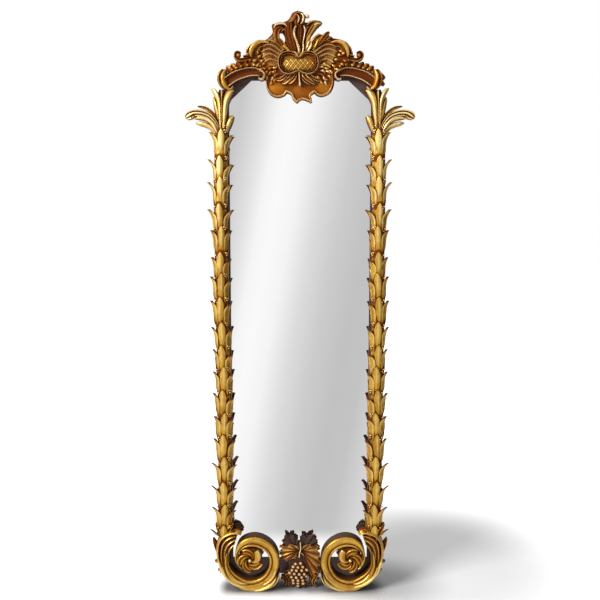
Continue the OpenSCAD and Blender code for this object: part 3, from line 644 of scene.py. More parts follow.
def lean(piece, heights, shifts):
    """Moves a column sideways along its height, because a hand-carved trunk isn't straight."""
    co = places(piece)
    co[:, 0] += np.interp(co[:, 2] / MM, heights, shifts) * MM
    move_to(piece, co)


left_column = palm_column()
right_column = other_hand(left_column, "right_palm_column")
lean(left_column, [210, 300, 380, 820, 970, 1030, 1120, 1270, 1400, 1500, 1620, 1700],
     [-6, -5, -3, -2, -5, -8, -9, -6, -8, -6, -3, -2])
lean(right_column, [210, 300, 380, 700, 900, 1030, 1120, 1250, 1360, 1620, 1700],
     [-1, 1, 3, 4, 4, 7, 6, 3, 5, 2, 1])
hang(left_column, column_gilt, "gilt", "left_column")
hang(right_column, column_gilt, "gilt", "right_column")


# ---- Capitals -----------------------------------------------------------------------------


def on_column_top(path):
    """A path laid out from the top of the left column's axis."""
    return [(x - AXIS_X, z + COLUMN_TOP, half, depth) for x, z, half, depth in path]


def leaf_capital():
    """Leaves as ([(x, z, half width, depth)], section, lift, gilding)."""
    leaves = [
        # curling leaves: lower, main, the lobe under it, upper
        ([(-14, -32, 4, 26), (-25, -12, 8, 30), (-40, 4, 9, 30), (-60, 13, 9, 29),
          (-78, 17, 7.5, 26), (-91, 18, 2.5, 20)], SOFT, 0, 0.95),
        ([(-12, -24, 4, 34), (-24, 2, 7, 36), (-40, 23, 8, 36), (-62, 34, 8, 35),
          (-84, 36, 6.5, 31), (-97, 34, 2, 24)], SOFT, 2, 1.0),
        ([(-6, -10, 6, 36), (-22, 20, 8.5, 39), (-42, 41, 10.5, 39), (-68, 51, 11.5, 39),
          (-94, 52, 13, 38), (-111, 45, 15, 37), (-121, 39, 11, 34), (-127, 36, 4, 28)],
         RIDGES, 0, 1.1),
        ([(-6, 2, 4.5, 27), (-29, 48, 6.5, 28), (-50, 67, 6.5, 26), (-68, 74, 5, 22),
          (-84, 77, 1.8, 16)], FOLD, 0, 1.0),
        # upright leaves: outer, inner left, stalk, right
        ([(-8, 8, 6, 26), (-14, 50, 8, 28), (-20, 78, 8, 27), (-25, 98, 5.5, 22),
          (-27, 109, 2, 16)], SOFT, 0, 0.85),
        ([(-4, -6, 5, 36), (-5, 30, 6, 38), (-8, 88, 7.5, 39), (-17, 116, 9, 37),
          (-26, 131, 7.5, 33), (-35, 138, 3, 26)], SOFT, 0, 0.95),
        ([(2, 20, 3.6, 38), (2, 90, 3.8, 38), (3, 124, 4.0, 35), (3, 134, 2.5, 28)],
         ROUND, 0, 1.15),
        ([(6, -6, 7, 36), (9, 42, 10, 39), (14, 88, 10.5, 40), (24, 114, 12, 37),
          (35, 128, 9, 31), (45, 132, 3, 24)], SOFT, 0, 0.85),
        ([(9, -20, 8, 28), (20, 8, 11, 32), (31, 32, 10, 30), (41, 44, 4, 22)], SOFT, 0, 0.8),
    ]
    parts = [carve("capital_leaf", on_column_top(path), section, lift, gilt_and_painted_light=gilt_and_painted_light)
             for path, section, lift, gilt_and_painted_light in leaves]
    core = [(0, 0, 15, 26), (0, 60, 14, 26), (2, 124, 9, 20)]
    parts.append(carve("capital_core", on_column_top(core), ROUND, gilt_and_painted_light=0.3))
    hook = [(-106, 36, 2.5, 38), (-101, 42, 4, 39), (-92, 42, 4, 38), (-88, 36, 2.5, 34)]
    parts.append(carve("curl_hook", on_column_top(hook), ROUND, gilt_and_painted_light=0.3))
    berry = round_ball("capital_berry", 3.6, (-0.2, 0.5), 10, 7)
    for x, z, out in ((-22, 8, 33), (12, 8, 37), (20, 2, 33)):
        parts.append(ball_at(berry, x - AXIS_X, z + COLUMN_TOP, out))
    discard(berry)
    return gather("left_leaf_capital", parts)


hang_pair(leaf_capital(), pale_gilt, "gilt", "capital")

# ---- Scrolls and rosettes -----------------------------------------------------------------

SCROLL_X, SCROLL_Z = -171.0, 104.5
SCROLL_H, SCROLL_DEPTH = 211.0, 58.0
BAND_W = 42.0
# The band's winding: bearing, outer radius as a share of SCROLL_H, half width of BAND_W.
TURN = [
    [156, 0.524, 0.10], [171, 0.521, 0.17], [186, 0.515, 0.21], [206, 0.515, 0.33],
    [229, 0.515, 0.45], [252, 0.518, 0.50], [284, 0.487, 0.51], [328, 0.428, 0.42],
    [361, 0.441, 0.43], [395, 0.469, 0.44], [424, 0.486, 0.47], [451, 0.498, 0.46],
    [478, 0.474, 0.36], [500, 0.408, 0.19], [520, 0.360, 0.14], [538, 0.303, 0.12],
    [560, 0.235, 0.08],
]


def volute():
    """The band that forms a foot, and the leaves that lap it."""
    t = curve(TURN, 7)
    w = t[:, 2] * BAND_W
    r = t[:, 1] * SCROLL_H - w
    a = np.radians(t[:, 0])
    path = np.column_stack([SCROLL_X + r * np.cos(a), SCROLL_Z + r * np.sin(a), w,
                            np.full(len(t), SCROLL_DEPTH)])
    band = carve("volute_band", path, BAND, steps=1, low=0)
    laps = [
        [[-176, 4, 5, 56], [-146, 9, 10, 60], [-118, 22, 11, 61.5], [-98, 42, 9, 61.5],
         [-88, 62, 2, 57]],
        [[-150, 24, 5, 54], [-126, 34, 8, 59], [-106, 52, 9, 61], [-94, 76, 7, 60],
         [-88, 96, 1.5, 55]],
        [[-120, 10, 5, 52], [-98, 26, 7, 56], [-84, 48, 6, 57], [-78, 70, 1.5, 52]],
        [[-286, 92, 5, 56], [-272, 58, 10, 60], [-246, 34, 11, 61.5], [-216, 22, 8, 61],
         [-190, 18, 1.5, 56]],
        [[-258, 70, 5, 54], [-240, 46, 8, 58], [-214, 33, 7, 59], [-192, 30, 1.5, 54]],
    ]
    parts = [carve("lapping_leaf", path, SOFT, low=0, gilt_and_painted_light=0.9) for path in laps]
    return gather("left_volute", [band, *parts])


hang_pair(volute(), column_gilt, "gilt", "scroll")
for hand in ("left", "right"):  # the glass doesn't show their dark sides
    bpy.data.objects[hand + "_volute"].visible_glossy = False

ROSE_X, ROSE_Z = -186.0, 119.5
ROSE_R, ROSE_DECK = 43.5, 44.0  # drum that carries the lobes
LOBE_FATNESS = (1.45, 1.15, 1.3, 1.1, 1.25)


def swirl_rosette():
    """A drum with curling lobes that swirl round a boss, and stipple between them."""
    deselect()
    bpy.ops.mesh.primitive_cylinder_add(
        vertices=48, radius=ROSE_R * MM, depth=ROSE_DECK * MM,
        location=(ROSE_X * MM, (FRONT - ROSE_DECK / 2) * MM, ROSE_Z * MM),
        rotation=(math.radians(90), 0, 0),
    )
    drum = bpy.context.object
    bpy.ops.object.transform_apply(location=True, rotation=True, scale=False)
    soften(drum, 3, 3)
    depth = (FRONT * MM - places(drum)[:, 1]) / MM
    gild(drum, np.where(depth > ROSE_DECK - 3.5, 0.2, 0.0))
    parts = [drum]
    dot = round_ball("stipple", 1.8, (-0.3, 0.4), 6, 4)
    sweep = 100
    for k, fat in enumerate(LOBE_FATNESS):
        start = 360 / len(LOBE_FATNESS) * k - 42
        q = np.linspace(0, 1, 10)
        turn = np.radians(start + sweep * q)
        r = 8.5 + 32.5 * q**0.8
        half = fat * (2.3 + 6.9 * np.sin(math.pi * np.minimum(1, 0.72 * q**1.2)) ** 1.1)
        depth = 9 + 7 * np.sin(math.pi * 0.8 * q)
        path = np.column_stack([ROSE_X + r * np.cos(turn), ROSE_Z + r * np.sin(turn), half, depth])
        section, gilt_and_painted_light = (SOFT, 0.8) if k == 0 else (FOLD, 0.6)
        parts.append(carve("swirl_lobe", path, section, ROSE_DECK - 2, 4, gilt_and_painted_light=gilt_and_painted_light))
        for i in range(4):
            a = math.radians(start + sweep * (0.5 + 0.13 * i) + 26)
            r = 20 + 4.8 * i
            parts.append(ball_at(dot, ROSE_X + r * math.cos(a), ROSE_Z + r * math.sin(a),
                                 ROSE_DECK + 5))
    boss = round_ball("rosette_boss", 6.4, (-0.4, 0.3), 16, 10)
    parts.append(ball_at(boss, ROSE_X, ROSE_Z, ROSE_DECK + 10))
    discard(dot, boss)
    return gather("left_swirl_rosette", parts)


hang_pair(swirl_rosette(), column_gilt, "gilt", "rosette")

# ---- Foot leaves --------------------------------------------------------------------------


def foot_leaves():
    """Leaves that wrap the foot of the left column and the start of its band."""
    lowest = 20
    strips = [
        # four ribs that curl over at the top, the longest outside
        ([(-292, 84, 5, 46), (-304, 118, 6, 51), (-307, 152, 6, 53), (-302, 184, 6.5, 54),
          (-287, 207, 7, 54), (-265, 220, 7.5, 54), (-243, 225, 8, 54), (-228, 222, 7, 52),
          (-219, 215, 3, 47)], SOFT, 0.78),
        ([(-285, 84, 4, 44), (-293, 120, 5, 49), (-293, 152, 5, 51), (-287, 179, 5.5, 52),
          (-273, 197, 5.5, 52), (-253, 208, 5.5, 51), (-235, 210, 2.5, 46)], SOFT, 0.82),
        ([(-276, 80, 4, 42), (-281, 122, 5, 47), (-280, 150, 5, 49), (-272, 172, 5.5, 49),
          (-257, 187, 5.5, 49), (-238, 195, 2.5, 44)], SOFT, 0.88),
        ([(-266, 78, 4, 40), (-269, 122, 4.5, 45), (-267, 146, 5, 47), (-258, 165, 5, 47),
          (-244, 178, 2.5, 42)], SOFT, 0.84),
        # ground between the ribs
        ([(-270, 60, 16, 38), (-285, 110, 23, 42), (-280, 160, 25, 43), (-258, 196, 19, 42),
          (-240, 210, 11, 36)], ROUND, 0.32),
        # leaves that lap the start of the band
        ([(-303, 122, 5, 50), (-293, 92, 10, 53), (-278, 62, 11, 54), (-257, 38, 8, 53),
          (-241, 25, 2.5, 50)], SOFT, 0.95),
        ([(-281, 124, 4, 48), (-276, 96, 8, 52), (-263, 68, 9, 53), (-247, 47, 7, 52),
          (-234, 36, 2.5, 48)], FOLD, 0.85),
        # tips on the outside
        ([(-292, 116, 7, 34), (-306, 148, 9, 38), (-317, 172, 7, 34), (-325, 190, 2.5, 22)],
         FOLD, 0.8),
        ([(-290, 108, 8, 34), (-306, 101, 6.5, 32), (-320, 99, 2.2, 20)], SOFT, 0.6),
        ([(-284, 76, 8, 34), (-298, 69, 6, 30), (-308, 64, 2.2, 20)], SOFT, 0.5),
        ([(-280, 66, 8, 34), (-292, 61, 5, 28), (-300, 58, 2, 20)], SOFT, 0.6),
        # the V of leaves that the column stands in
        ([(-286, 190, 6, 40), (-293, 212, 9, 42), (-304, 232, 8, 38), (-314, 248, 2.5, 28)],
         FOLD, 0.85),
        ([(-284, 192, 5, 42), (-276, 214, 9, 45), (-262, 236, 9, 44), (-250, 251, 2.5, 38)],
         FOLD, 0.9),
        ([(-285, 186, 5, 42), (-286, 212, 8, 47), (-282, 236, 7, 46), (-278, 250, 2, 40)],
         SOFT, 0.9),
    ]
    parts = [carve("foot_leaf", path, section, gilt_and_painted_light=gilt_and_painted_light, low=lowest)
             for path, section, gilt_and_painted_light in strips]
    for path in ([(-262, 214, 6, 8), (-250, 230, 9, 12), (-234, 238, 8, 12), (-222, 236, 3, 9)],
                 [(-254, 212, 6, 7), (-238, 221, 10, 10), (-222, 224, 8, 10), (-213, 217, 3, 7)]):
        parts.append(carve("dark_leaf", path, FOLD, gilt_and_painted_light=0.02))
    return gather("left_foot_leaves", parts)


hang_pair(foot_leaves(), column_gilt, "gilt", "foot_leaf")

# ---- Vine leaves and grapes ---------------------------------------------------------------


def vine_leaf(name, stalk, lift, gilt_and_painted_light, edge):
    """A leaf that fans out from its stalk to an edge of tips and notches in turn."""
    dome, steps, lowest = 5.0, 8, 7
    edge = np.array(edge, float)
    u = np.linspace(0, len(edge) - 1, (len(edge) - 1) * steps + 1)
    x_edge = np.interp(u, np.arange(len(edge)), edge[:, 0])
    z_edge = np.interp(u, np.arange(len(edge)), edge[:, 1])
    tip = np.abs(np.cos(math.pi * u / 2))
    q = np.linspace(0.04, 1, 14)[:, None]
    swell = 1 + 0.10 * np.sin(math.pi * tip) * q
    x = stalk[0] + q * swell * (x_edge - stalk[0])
    z = np.maximum(stalk[1] + q * swell * (z_edge - stalk[1]), lowest)
    vein = tip**6
    ripple = np.abs(np.cos(math.pi * u * 1.5)) ** 6
    out = lift + dome * np.sin(math.pi * q * 0.75) - 3.0 * q**3
    out = out + 3.2 * vein * (1.1 - 0.6 * q) + 1.2 * ripple * q - 1.4 * (1 - tip) * q
    wear = np.clip(0.5 + 0.46 * vein + 0.16 * ripple * q + 0.3 * (q > 0.93), 0, 1.15) * gilt_and_painted_light
    return lay(name, np.stack([x, out, z], 2), wear, thick=3.5)


VINE_LEAVES = [  # name, stalk, lift, gilding, edge
    ("dark_leaf", (-12, 150), 14, 0.035,
     [(-46, 150), (-48, 162), (-62, 172), (-51, 183), (-57, 206), (-39, 194), (-24, 205),
      (-20, 190), (-8, 184)]),
    ("dark_leaf", (12, 150), 14, 0.035,
     [(2, 174), (7, 185), (6, 202), (25, 193), (50, 207), (47, 187), (63, 181), (57, 168),
      (69, 154)]),
    ("gold_leaf", (-5, 150), 25, 0.85,
     [(-12, 164), (-34, 170), (-44, 162), (-66, 164), (-64, 148), (-75, 138), (-68, 128),
      (-76, 113), (-58, 115), (-42, 106), (-28, 116), (-12, 118)]),
    ("gold_leaf", (7, 148), 25, 0.85,
     [(12, 164), (32, 170), (42, 162), (62, 166), (63, 150), (73, 132), (66, 118), (73, 98),
      (63, 86), (68, 64), (54, 62), (50, 42), (38, 58), (22, 98)]),
    ("low_leaf", (-34, 60), 17, 0.6,
     [(-44, 70), (-62, 60), (-56, 48), (-72, 34), (-56, 30), (-58, 12), (-44, 24), (-34, 12)]),
    ("low_leaf", (32, 56), 17, 0.7,
     [(40, 66), (60, 58), (56, 44), (74, 34), (58, 28), (62, 10), (46, 20), (34, 8)]),
]


def oval(x, z, rx, rz, count):
    a = np.radians(np.arange(count) * 360 / count)
    return np.column_stack([x + rx * np.cos(a), z + rz * np.sin(a)])


def vine_spray():
    """Dark and gilt vine leaves with their stems, over the ground between the scrolls."""
    parts = [vine_leaf(*leaf) for leaf in VINE_LEAVES]
    stems = [
        [(-3, 122, 3, 14), (-1, 140, 3.4, 16), (3, 156, 3, 15), (1, 178, 2, 10)],
        [(0, 142, 2.4, 12), (10, 134, 2.4, 12), (18, 122, 2, 9)],
    ]
    parts += [carve("stem", path, ROUND, 20, gilt_and_painted_light=1.1) for path in stems]
    curls = [
        [(-66, 8, 3, 26), (-56, 22, 6, 31), (-60, 38, 5.5, 31), (-70, 44, 2, 26)],
        [(-30, 6, 3, 26), (-40, 16, 5, 29), (-34, 30, 2, 24)],
        [(56, 6, 3, 26), (50, 24, 7, 30), (60, 44, 6, 30), (70, 54, 2, 24)],
        [(8, 6, 4, 26), (18, 14, 5, 28), (28, 8, 3, 24)],
    ]
    parts += [carve("curled_bit", path, FOLD, low=0.5, gilt_and_painted_light=0.8) for path in curls]
    parts.append(board("vine_ground", oval(0, 92, 43, 72, 36), 23, 0, 0.0, 3))
    return gather("vine_leaf_spray", parts)


hang(vine_spray(), grape_gilt, "antique_gilt", "vine_leaves")


BUNCH_X, BUNCH_Z = -8, 57  # middle of the bunch
GRAPE_R, GRAPE_ROW, GRAPE_PITCH = 8.4, 12.4, 18.2
GRAPES = (2, 3, 4, 4, 4, 3, 3, 1)  # in each row, from the top


def grape_bunch():
    """Grapes in staggered rows, which swell towards the middle."""
    # Painted highlight: each grape is gilt only on its front cap, with painted shade on its sides.
    berry = round_ball("grape", GRAPE_R, (0.58, 0.86), 18, 12)
    parts = []
    for j, count in enumerate(GRAPES):
        z = 99 - j * GRAPE_ROW
        stagger = 4.5 * (-1) ** j * (count == 4)
        for i in range(count):
            x = BUNCH_X + (i - (count - 1) / 2) * GRAPE_PITCH + stagger
            bulge = 1 - ((x - BUNCH_X) / 42) ** 2 - ((z - BUNCH_Z) / 56) ** 2
            parts.append(ball_at(berry, x + random.uniform(-1.6, 1.6),
                                 z + random.uniform(-1.6, 1.6), 23 + 16 * max(0, bulge)))
    discard(berry)
    outline = oval(BUNCH_X, BUNCH_Z + 1, 31, 46, 24)
    parts.append(board("grape_ground", outline, 12, 23.5, 0.1, 4))
    return gather("grape_bunch", parts)


hang(grape_bunch(), grape_gilt, "antique_gilt", "grape_cluster")

# ---- Arms and their cresting --------------------------------------------------------------


def on_crest(name, path, section, lift, gilt_and_painted_light, steps=6):
    """A strip of carving with its heights from the centre of the cartouche."""
    path = [(x, z + CREST_Z, half, depth) for x, z, half, depth in path]
    return carve(name, path, section, lift, steps, gilt_and_painted_light=gilt_and_painted_light)


CREST_UP, CREST_LEFT = 11, 6  # how far out of true the middle of the crest is
CREST_INNER, CREST_OUTER = 100, 152  # from all of that to none, to each side
FINIAL_TOP = 188.2  # above the centre of the cartouche


def settle(piece):
    """Moves the middle of the crest a little up and to the left."""
    co = places(piece)
    x, z = np.abs(co[:, 0]) / MM, co[:, 2] / MM - CREST_Z
    near = np.interp(x, [CREST_INNER, CREST_OUTER], [1, 0])
    raised = np.interp(z, [-92, -38, 60, 140, 172, 188], [0, 1, 1, 0.85, 0.5, 0])
    co[:, 2] += CREST_UP * MM * near * raised
    co[:, 2] = np.minimum(co[:, 2], (CREST_Z + FINIAL_TOP) * MM)
    co[:, 0] -= CREST_LEFT * MM * near * np.interp(z, [-92, -38, 140, 188], [0, 1, 1, 1.7])
    move_to(piece, co)
    return piece


# The arm's middle line, as (x, z, half width, depth).
ARM = curve([[-260, 1856, 17, 34], [-235, 1874, 17, 36], [-210, 1885, 16.5, 36],
             [-172, 1894, 15, 36], [-142, 1891, 12, 34], [-128, 1881, 6, 30]], 8)


def channel_arm():
    """A channelled moulding that ends in a small curl at the crest."""
    parts = [carve("arm_channel", ARM, CHANNEL, steps=1)]
    parts.append(carve("arm_curl", [[-150, 1903, 3, 32], [-136, 1899, 4, 36], [-126, 1890, 4.5, 36],
                                    [-125, 1879, 4.5, 36], [-133, 1871, 4, 35],
                                    [-142, 1872, 3.5, 33], [-144, 1880, 2.5, 30]], ROUND))
    return gather("left_channel_arm", parts)


hang_pair(channel_arm(), crest_gilt, "antique_gilt", "arm")


LEAF_TIPS = [  # place along the arm, reach over its edge
    (2, 18), (5, 26), (9, 30), (13, 29), (17, 29), (21, 27), (25, 24), (29, 21), (33, 18),
]


def berry_cresting():
    """Leaf tips and berries along the arm, and the straps that close its outer end."""
    strips = [
        # strap over the end of the channel, and the leaf outside it
        ([(-260, -12, 5, 32), (-268, -30, 9, 38), (-267, -50, 10, 39), (-259, -68, 9, 38),
          (-243, -78, 4, 31)], SOFT, 0.68),
        ([(-270, -8, 4, 24), (-281, -26, 7, 30), (-283, -46, 7.5, 31), (-276, -64, 6, 29),
          (-262, -77, 3, 24)], SOFT, 0.5),
        ([(-250, -79, 3, 34), (-240, -75, 4, 36), (-235, -68, 3, 34)], ROUND, 0.9),
    ]
    parts = [on_crest("end_strap", path, section, 0, gilt_and_painted_light) for path, section, gilt_and_painted_light in strips]
    n = across_path(ARM)
    ground = ARM[2:35].copy()
    ground[:, :2] += n[2:35] * (ARM[2:35, 2:3] + 11)
    ground[:, 2], ground[:, 3] = 13, 17
    parts.append(carve("berry_ground", ground, ROUND, steps=1, gilt_and_painted_light=0.24))
    berry = round_ball("berry", 6.6, (0.3, 1.15), 14, 9)
    for i, (at, reach) in enumerate(LEAF_TIPS):
        edge = ARM[at, :2] + n[at] * ARM[at, 2]
        along = np.array([n[at][1], -n[at][0]])
        sway = random.uniform(2, 6)
        tip = edge + n[at] * reach - along * sway
        middle = edge + n[at] * reach * 0.55 + along * 2.5
        parts.append(carve("leaf_tip", tapered([edge, middle, tip], 9, 22, 0.5), SOFT,
                           steps=5, gilt_and_painted_light=random.uniform(0.35, 0.68)))
        spot = edge + n[at] * 9 + along * 8
        parts.append(ball_at(berry, spot[0], spot[1], 18, random.uniform(0.75, 1.0)))
        if i % 2:
            spot = edge + n[at] * (reach - 5) + along * 4
            parts.append(ball_at(berry, spot[0], spot[1], 16, random.uniform(0.6, 0.8)))
    discard(berry)
    return gather("left_berry_cresting", parts)


left_cresting = berry_cresting()
end_tips = [
    on_crest("end_tip", path, SOFT, 0, 0.42)
    for path in ([(266, -24, 9, 24), (282, -30, 11, 30), (298, -40, 6, 20)],
                 [(268, -42, 8, 24), (284, -52, 9, 27), (297, -62, 5, 18)])
]
right_cresting = other_hand(left_cresting, "right_berry_cresting")
right_cresting = gather("right_berry_cresting", [right_cresting, *end_tips])
hang(left_cresting, crest_gilt, "antique_gilt", "left_cresting")
hang(right_cresting, crest_gilt, "antique_gilt", "right_cresting")

# ---- Crest board and what it carries ------------------------------------------------------


def crest_ground():
    """The ground of the crest, with its see-through gap left of the plume."""
    z, worn = CREST_Z, 0.22
    outline = curve([
        [-118, z - 36], [-152, z + 2], [-186, z + 22], [-176, z + 62], [-150, z + 82],
        [-112, z + 86], [-90, z + 106], [-92, z + 134], [-66, z + 140], [-34, z + 152],
        [-14, z + 184], [6, z + 186], [18, z + 160], [26, z + 142], [60, z + 148], [78, z + 134],
        [54, z + 112], [42, z + 78], [62, z + 84], [98, z + 104], [114, z + 92], [152, z + 90],
        [178, z + 66], [186, z + 22], [152, z + 2], [118, z - 36],
    ], 5)
    piece = board("crest_ground", outline, BOARD_T, 0, worn, 2.5)
    deselect()
    bpy.ops.mesh.primitive_cylinder_add(
        vertices=32, radius=20 * MM, depth=100 * MM, location=(-57 * MM, 0, (z + 87) * MM),
        rotation=(math.radians(90), math.radians(-12), 0),
    )
    cutter = bpy.context.object
    cutter.scale = (0.5, 1, 1)
    pick(piece)
    bpy.ops.object.modifier_add(type="BOOLEAN")
    opening = piece.modifiers[-1]
    opening.object = cutter
    opening.operation = "DIFFERENCE"
    bpy.ops.object.modifier_apply(modifier=opening.name)
    discard(cutter)
    return gild(piece, worn)


hang(settle(crest_ground()), copper_ground, "crest_ground", "crest_board")


def shoulder_leaves():
    """Leaves and curls at the shoulder of the crest."""
    strips = [
        ([(-108, 81, 3, 12), (-128, 84, 5.5, 20), (-147, 80, 8, 24), (-161, 64, 8.5, 24),
          (-167, 46, 6.5, 20), (-166, 32, 2, 12)], SOFT, BOARD_T, 0.72),
        ([(-116, 71, 3, 10), (-138, 69, 5, 15), (-150, 56, 5, 15), (-151, 38, 2, 10)], FOLD,
         BOARD_T, 0.6),
        ([(-150, 74, 3, 18), (-164, 72, 4, 20), (-175, 60, 4.5, 18), (-180, 46, 2, 12)], SOFT,
         BOARD_T, 0.6),
        ([(-168, 30, 5, 24), (-184, 25, 7, 27), (-200, 23, 7.5, 29), (-213, 30, 7.5, 30),
          (-217, 42, 6.5, 30), (-209, 50, 5.5, 28), (-199, 47, 3.5, 26)], FOLD, 0, 0.6),
        ([(-160, 44, 4, 26), (-176, 40, 5, 28), (-190, 36, 3, 24)], SOFT, 0, 0.7),
    ]
    parts = [on_crest("shoulder_leaf", path, section, lift, gilt_and_painted_light)
             for path, section, lift, gilt_and_painted_light in strips]
    berry = round_ball("curl_berry", 7.5, (0.4, 1.5), 14, 9)
    parts.append(ball_at(berry, -206, CREST_Z + 38, 24, 1.25))
    parts.append(ball_at(berry, -170, CREST_Z + 22, 22, 0.8))
    discard(berry)
    return gather("left_shoulder_leaves", parts)


def draw_out(piece, reach):
    """Moves the outer curl of the left shoulder further out than its twin's."""
    co = places(piece)
    co[:, 0] -= reach * MM * np.interp(-co[:, 0] / MM, [150, 190], [0, 1])
    move_to(piece, co)


left_shoulder = shoulder_leaves()
hang_pair(left_shoulder, crest_gilt, "antique_gilt", "shoulder_leaf")
draw_out(left_shoulder, 9)

# The lines between the flutes of the left shell, from the cartouche outwards.
FLUTES = [
    [(-42, 50), (-58, 74), (-78, 88), (-92, 92)], [(-50, 46), (-72, 68), (-98, 79), (-114, 78)],
    [(-57, 38), (-84, 58), (-110, 66), (-130, 62)], [(-62, 28), (-88, 44), (-111, 50), (-134, 47)],
    [(-66, 17), (-90, 30), (-110, 33), (-130, 27)], [(-69, 6), (-92, 14), (-109, 13), (-124, 6)],
    [(-70, -5), (-90, -3), (-104, -6), (-115, -15)],
]


def fan(lines):
    """Flutes of a shell between the given lines, which stay as sharp bright ridges."""
    height = 15
    crest, hollow = 1.15, 0.50  # gilding on the lines and between them
    lines = np.array([curve(line, 5) for line in lines])
    count, along = lines.shape[:2]
    spread = curve(lines.reshape(count, -1), 10).reshape(-1, along, 2)
    u = np.linspace(0, count - 1, len(spread))[None, :]
    sharp = np.abs(np.cos(math.pi * u)) ** 6
    q = np.linspace(0, 1, along)[:, None]
    rise = BOARD_T + height * np.interp(q, [0, 0.4, 0.85, 1], [0.5, 1, 0.85, 0.25])
    dip = height * 0.7 * (1 - sharp) * np.interp(q, [0, 0.3, 1], [0.4, 1, 0.6])
    grid = np.stack([spread[:, :, 0].T, rise - dip, spread[:, :, 1].T + CREST_Z], 2)
    gilt_and_painted_light = hollow + (crest - hollow) * np.abs(np.cos(math.pi * u)) ** 14
    gilt_and_painted_light = gilt_and_painted_light * np.interp(u, [0, 0.5, count - 1.5, count - 1], [0.6, 1, 1, 0.6])
    gilt_and_painted_light = gilt_and_painted_light + 0.2 * (1 - sharp) * np.sin(7 * q * math.pi + 2 * u) ** 4
    gilt_and_painted_light = gilt_and_painted_light + 0.26 * (1 - sharp) * (1 - q) ** 1.4
    return lay("shell_fan", grid, gilt_and_painted_light, thick=6)


def froth(spots, side):
    """Small curled leaves round the cartouche. The low ones hang off the crest board."""
    board_edge, low_lift = -30, 9
    parts = []
    for x, z, bearing, length in spots:
        a = math.radians(bearing + random.uniform(-12, 12))
        bend = random.choice((-1, 1)) * length * 0.22
        along, away = np.array([math.cos(a), math.sin(a)]), np.array([-math.sin(a), math.cos(a)])
        start = np.array([x, z])
        points = [start, start + along * length * 0.5 + away * bend, start + along * length]
        path = [(side * px, pz, half, depth) for (px, pz), half, depth
                in zip(points, (3.4, 5.4, 2.0), (9, 13, 8))]
        lift = BOARD_T if z > board_edge else low_lift
        gilt_and_painted_light = random.uniform(0.5, 0.92) * 0.5 + (0.45 if z < 0 else 0.28)
        parts.append(on_crest("froth", path, SOFT, lift, gilt_and_painted_light, 4))
    return parts


FROTH = [  # x, z, bearing, length
    (-74, -12, 190, 18), (-78, -24, 205, 18), (-70, -34, 215, 20), (-60, -42, 225, 20),
    (-92, -12, 200, 16), (-96, -26, 215, 16), (-88, -40, 222, 18), (-76, -50, 235, 18),
    (-106, -22, 220, 14), (-104, -38, 235, 14), (-94, -54, 240, 15), (-116, 0, 190, 14),
    (-84, -4, 175, 16), (-124, 16, 170, 14), (-134, 34, 175, 14), (-138, 52, 160, 12),
    (-128, -12, 215, 14), (-142, 8, 200, 14), (-152, 24, 190, 14), (-146, 42, 130, 14),
]

left_shell = gather("left_shell_flutes", [fan(FLUTES), *froth(FROTH, 1)])
right_lines = [[(-x, z) for x, z in line] for line in FLUTES[::-1]]
right_lines.append([(38, 54), (52, 78), (66, 92), (80, 99)])
peak = [
    ([(70, 62, 5, 12), (84, 82, 8, 19), (98, 98, 8, 20), (107, 109, 2.5, 12)], FOLD, 0.62),
    ([(90, 76, 5, 12), (104, 88, 6, 17), (117, 92, 2, 10)], SOFT, 0.58),
    ([(58, 56, 4, 12), (68, 78, 5, 16), (84, 98, 2, 10)], SOFT, 0.74),
]
peak = [on_crest("peak_leaf", path, section, BOARD_T, gilt_and_painted_light) for path, section, gilt_and_painted_light in peak]
right_shell = gather("right_shell_flutes", [fan(right_lines), *froth(FROTH, -1), *peak])
hang(settle(left_shell), crest_gilt, "antique_gilt", "left_shell")
hang(settle(right_shell), crest_gilt, "antique_gilt", "right_shell")


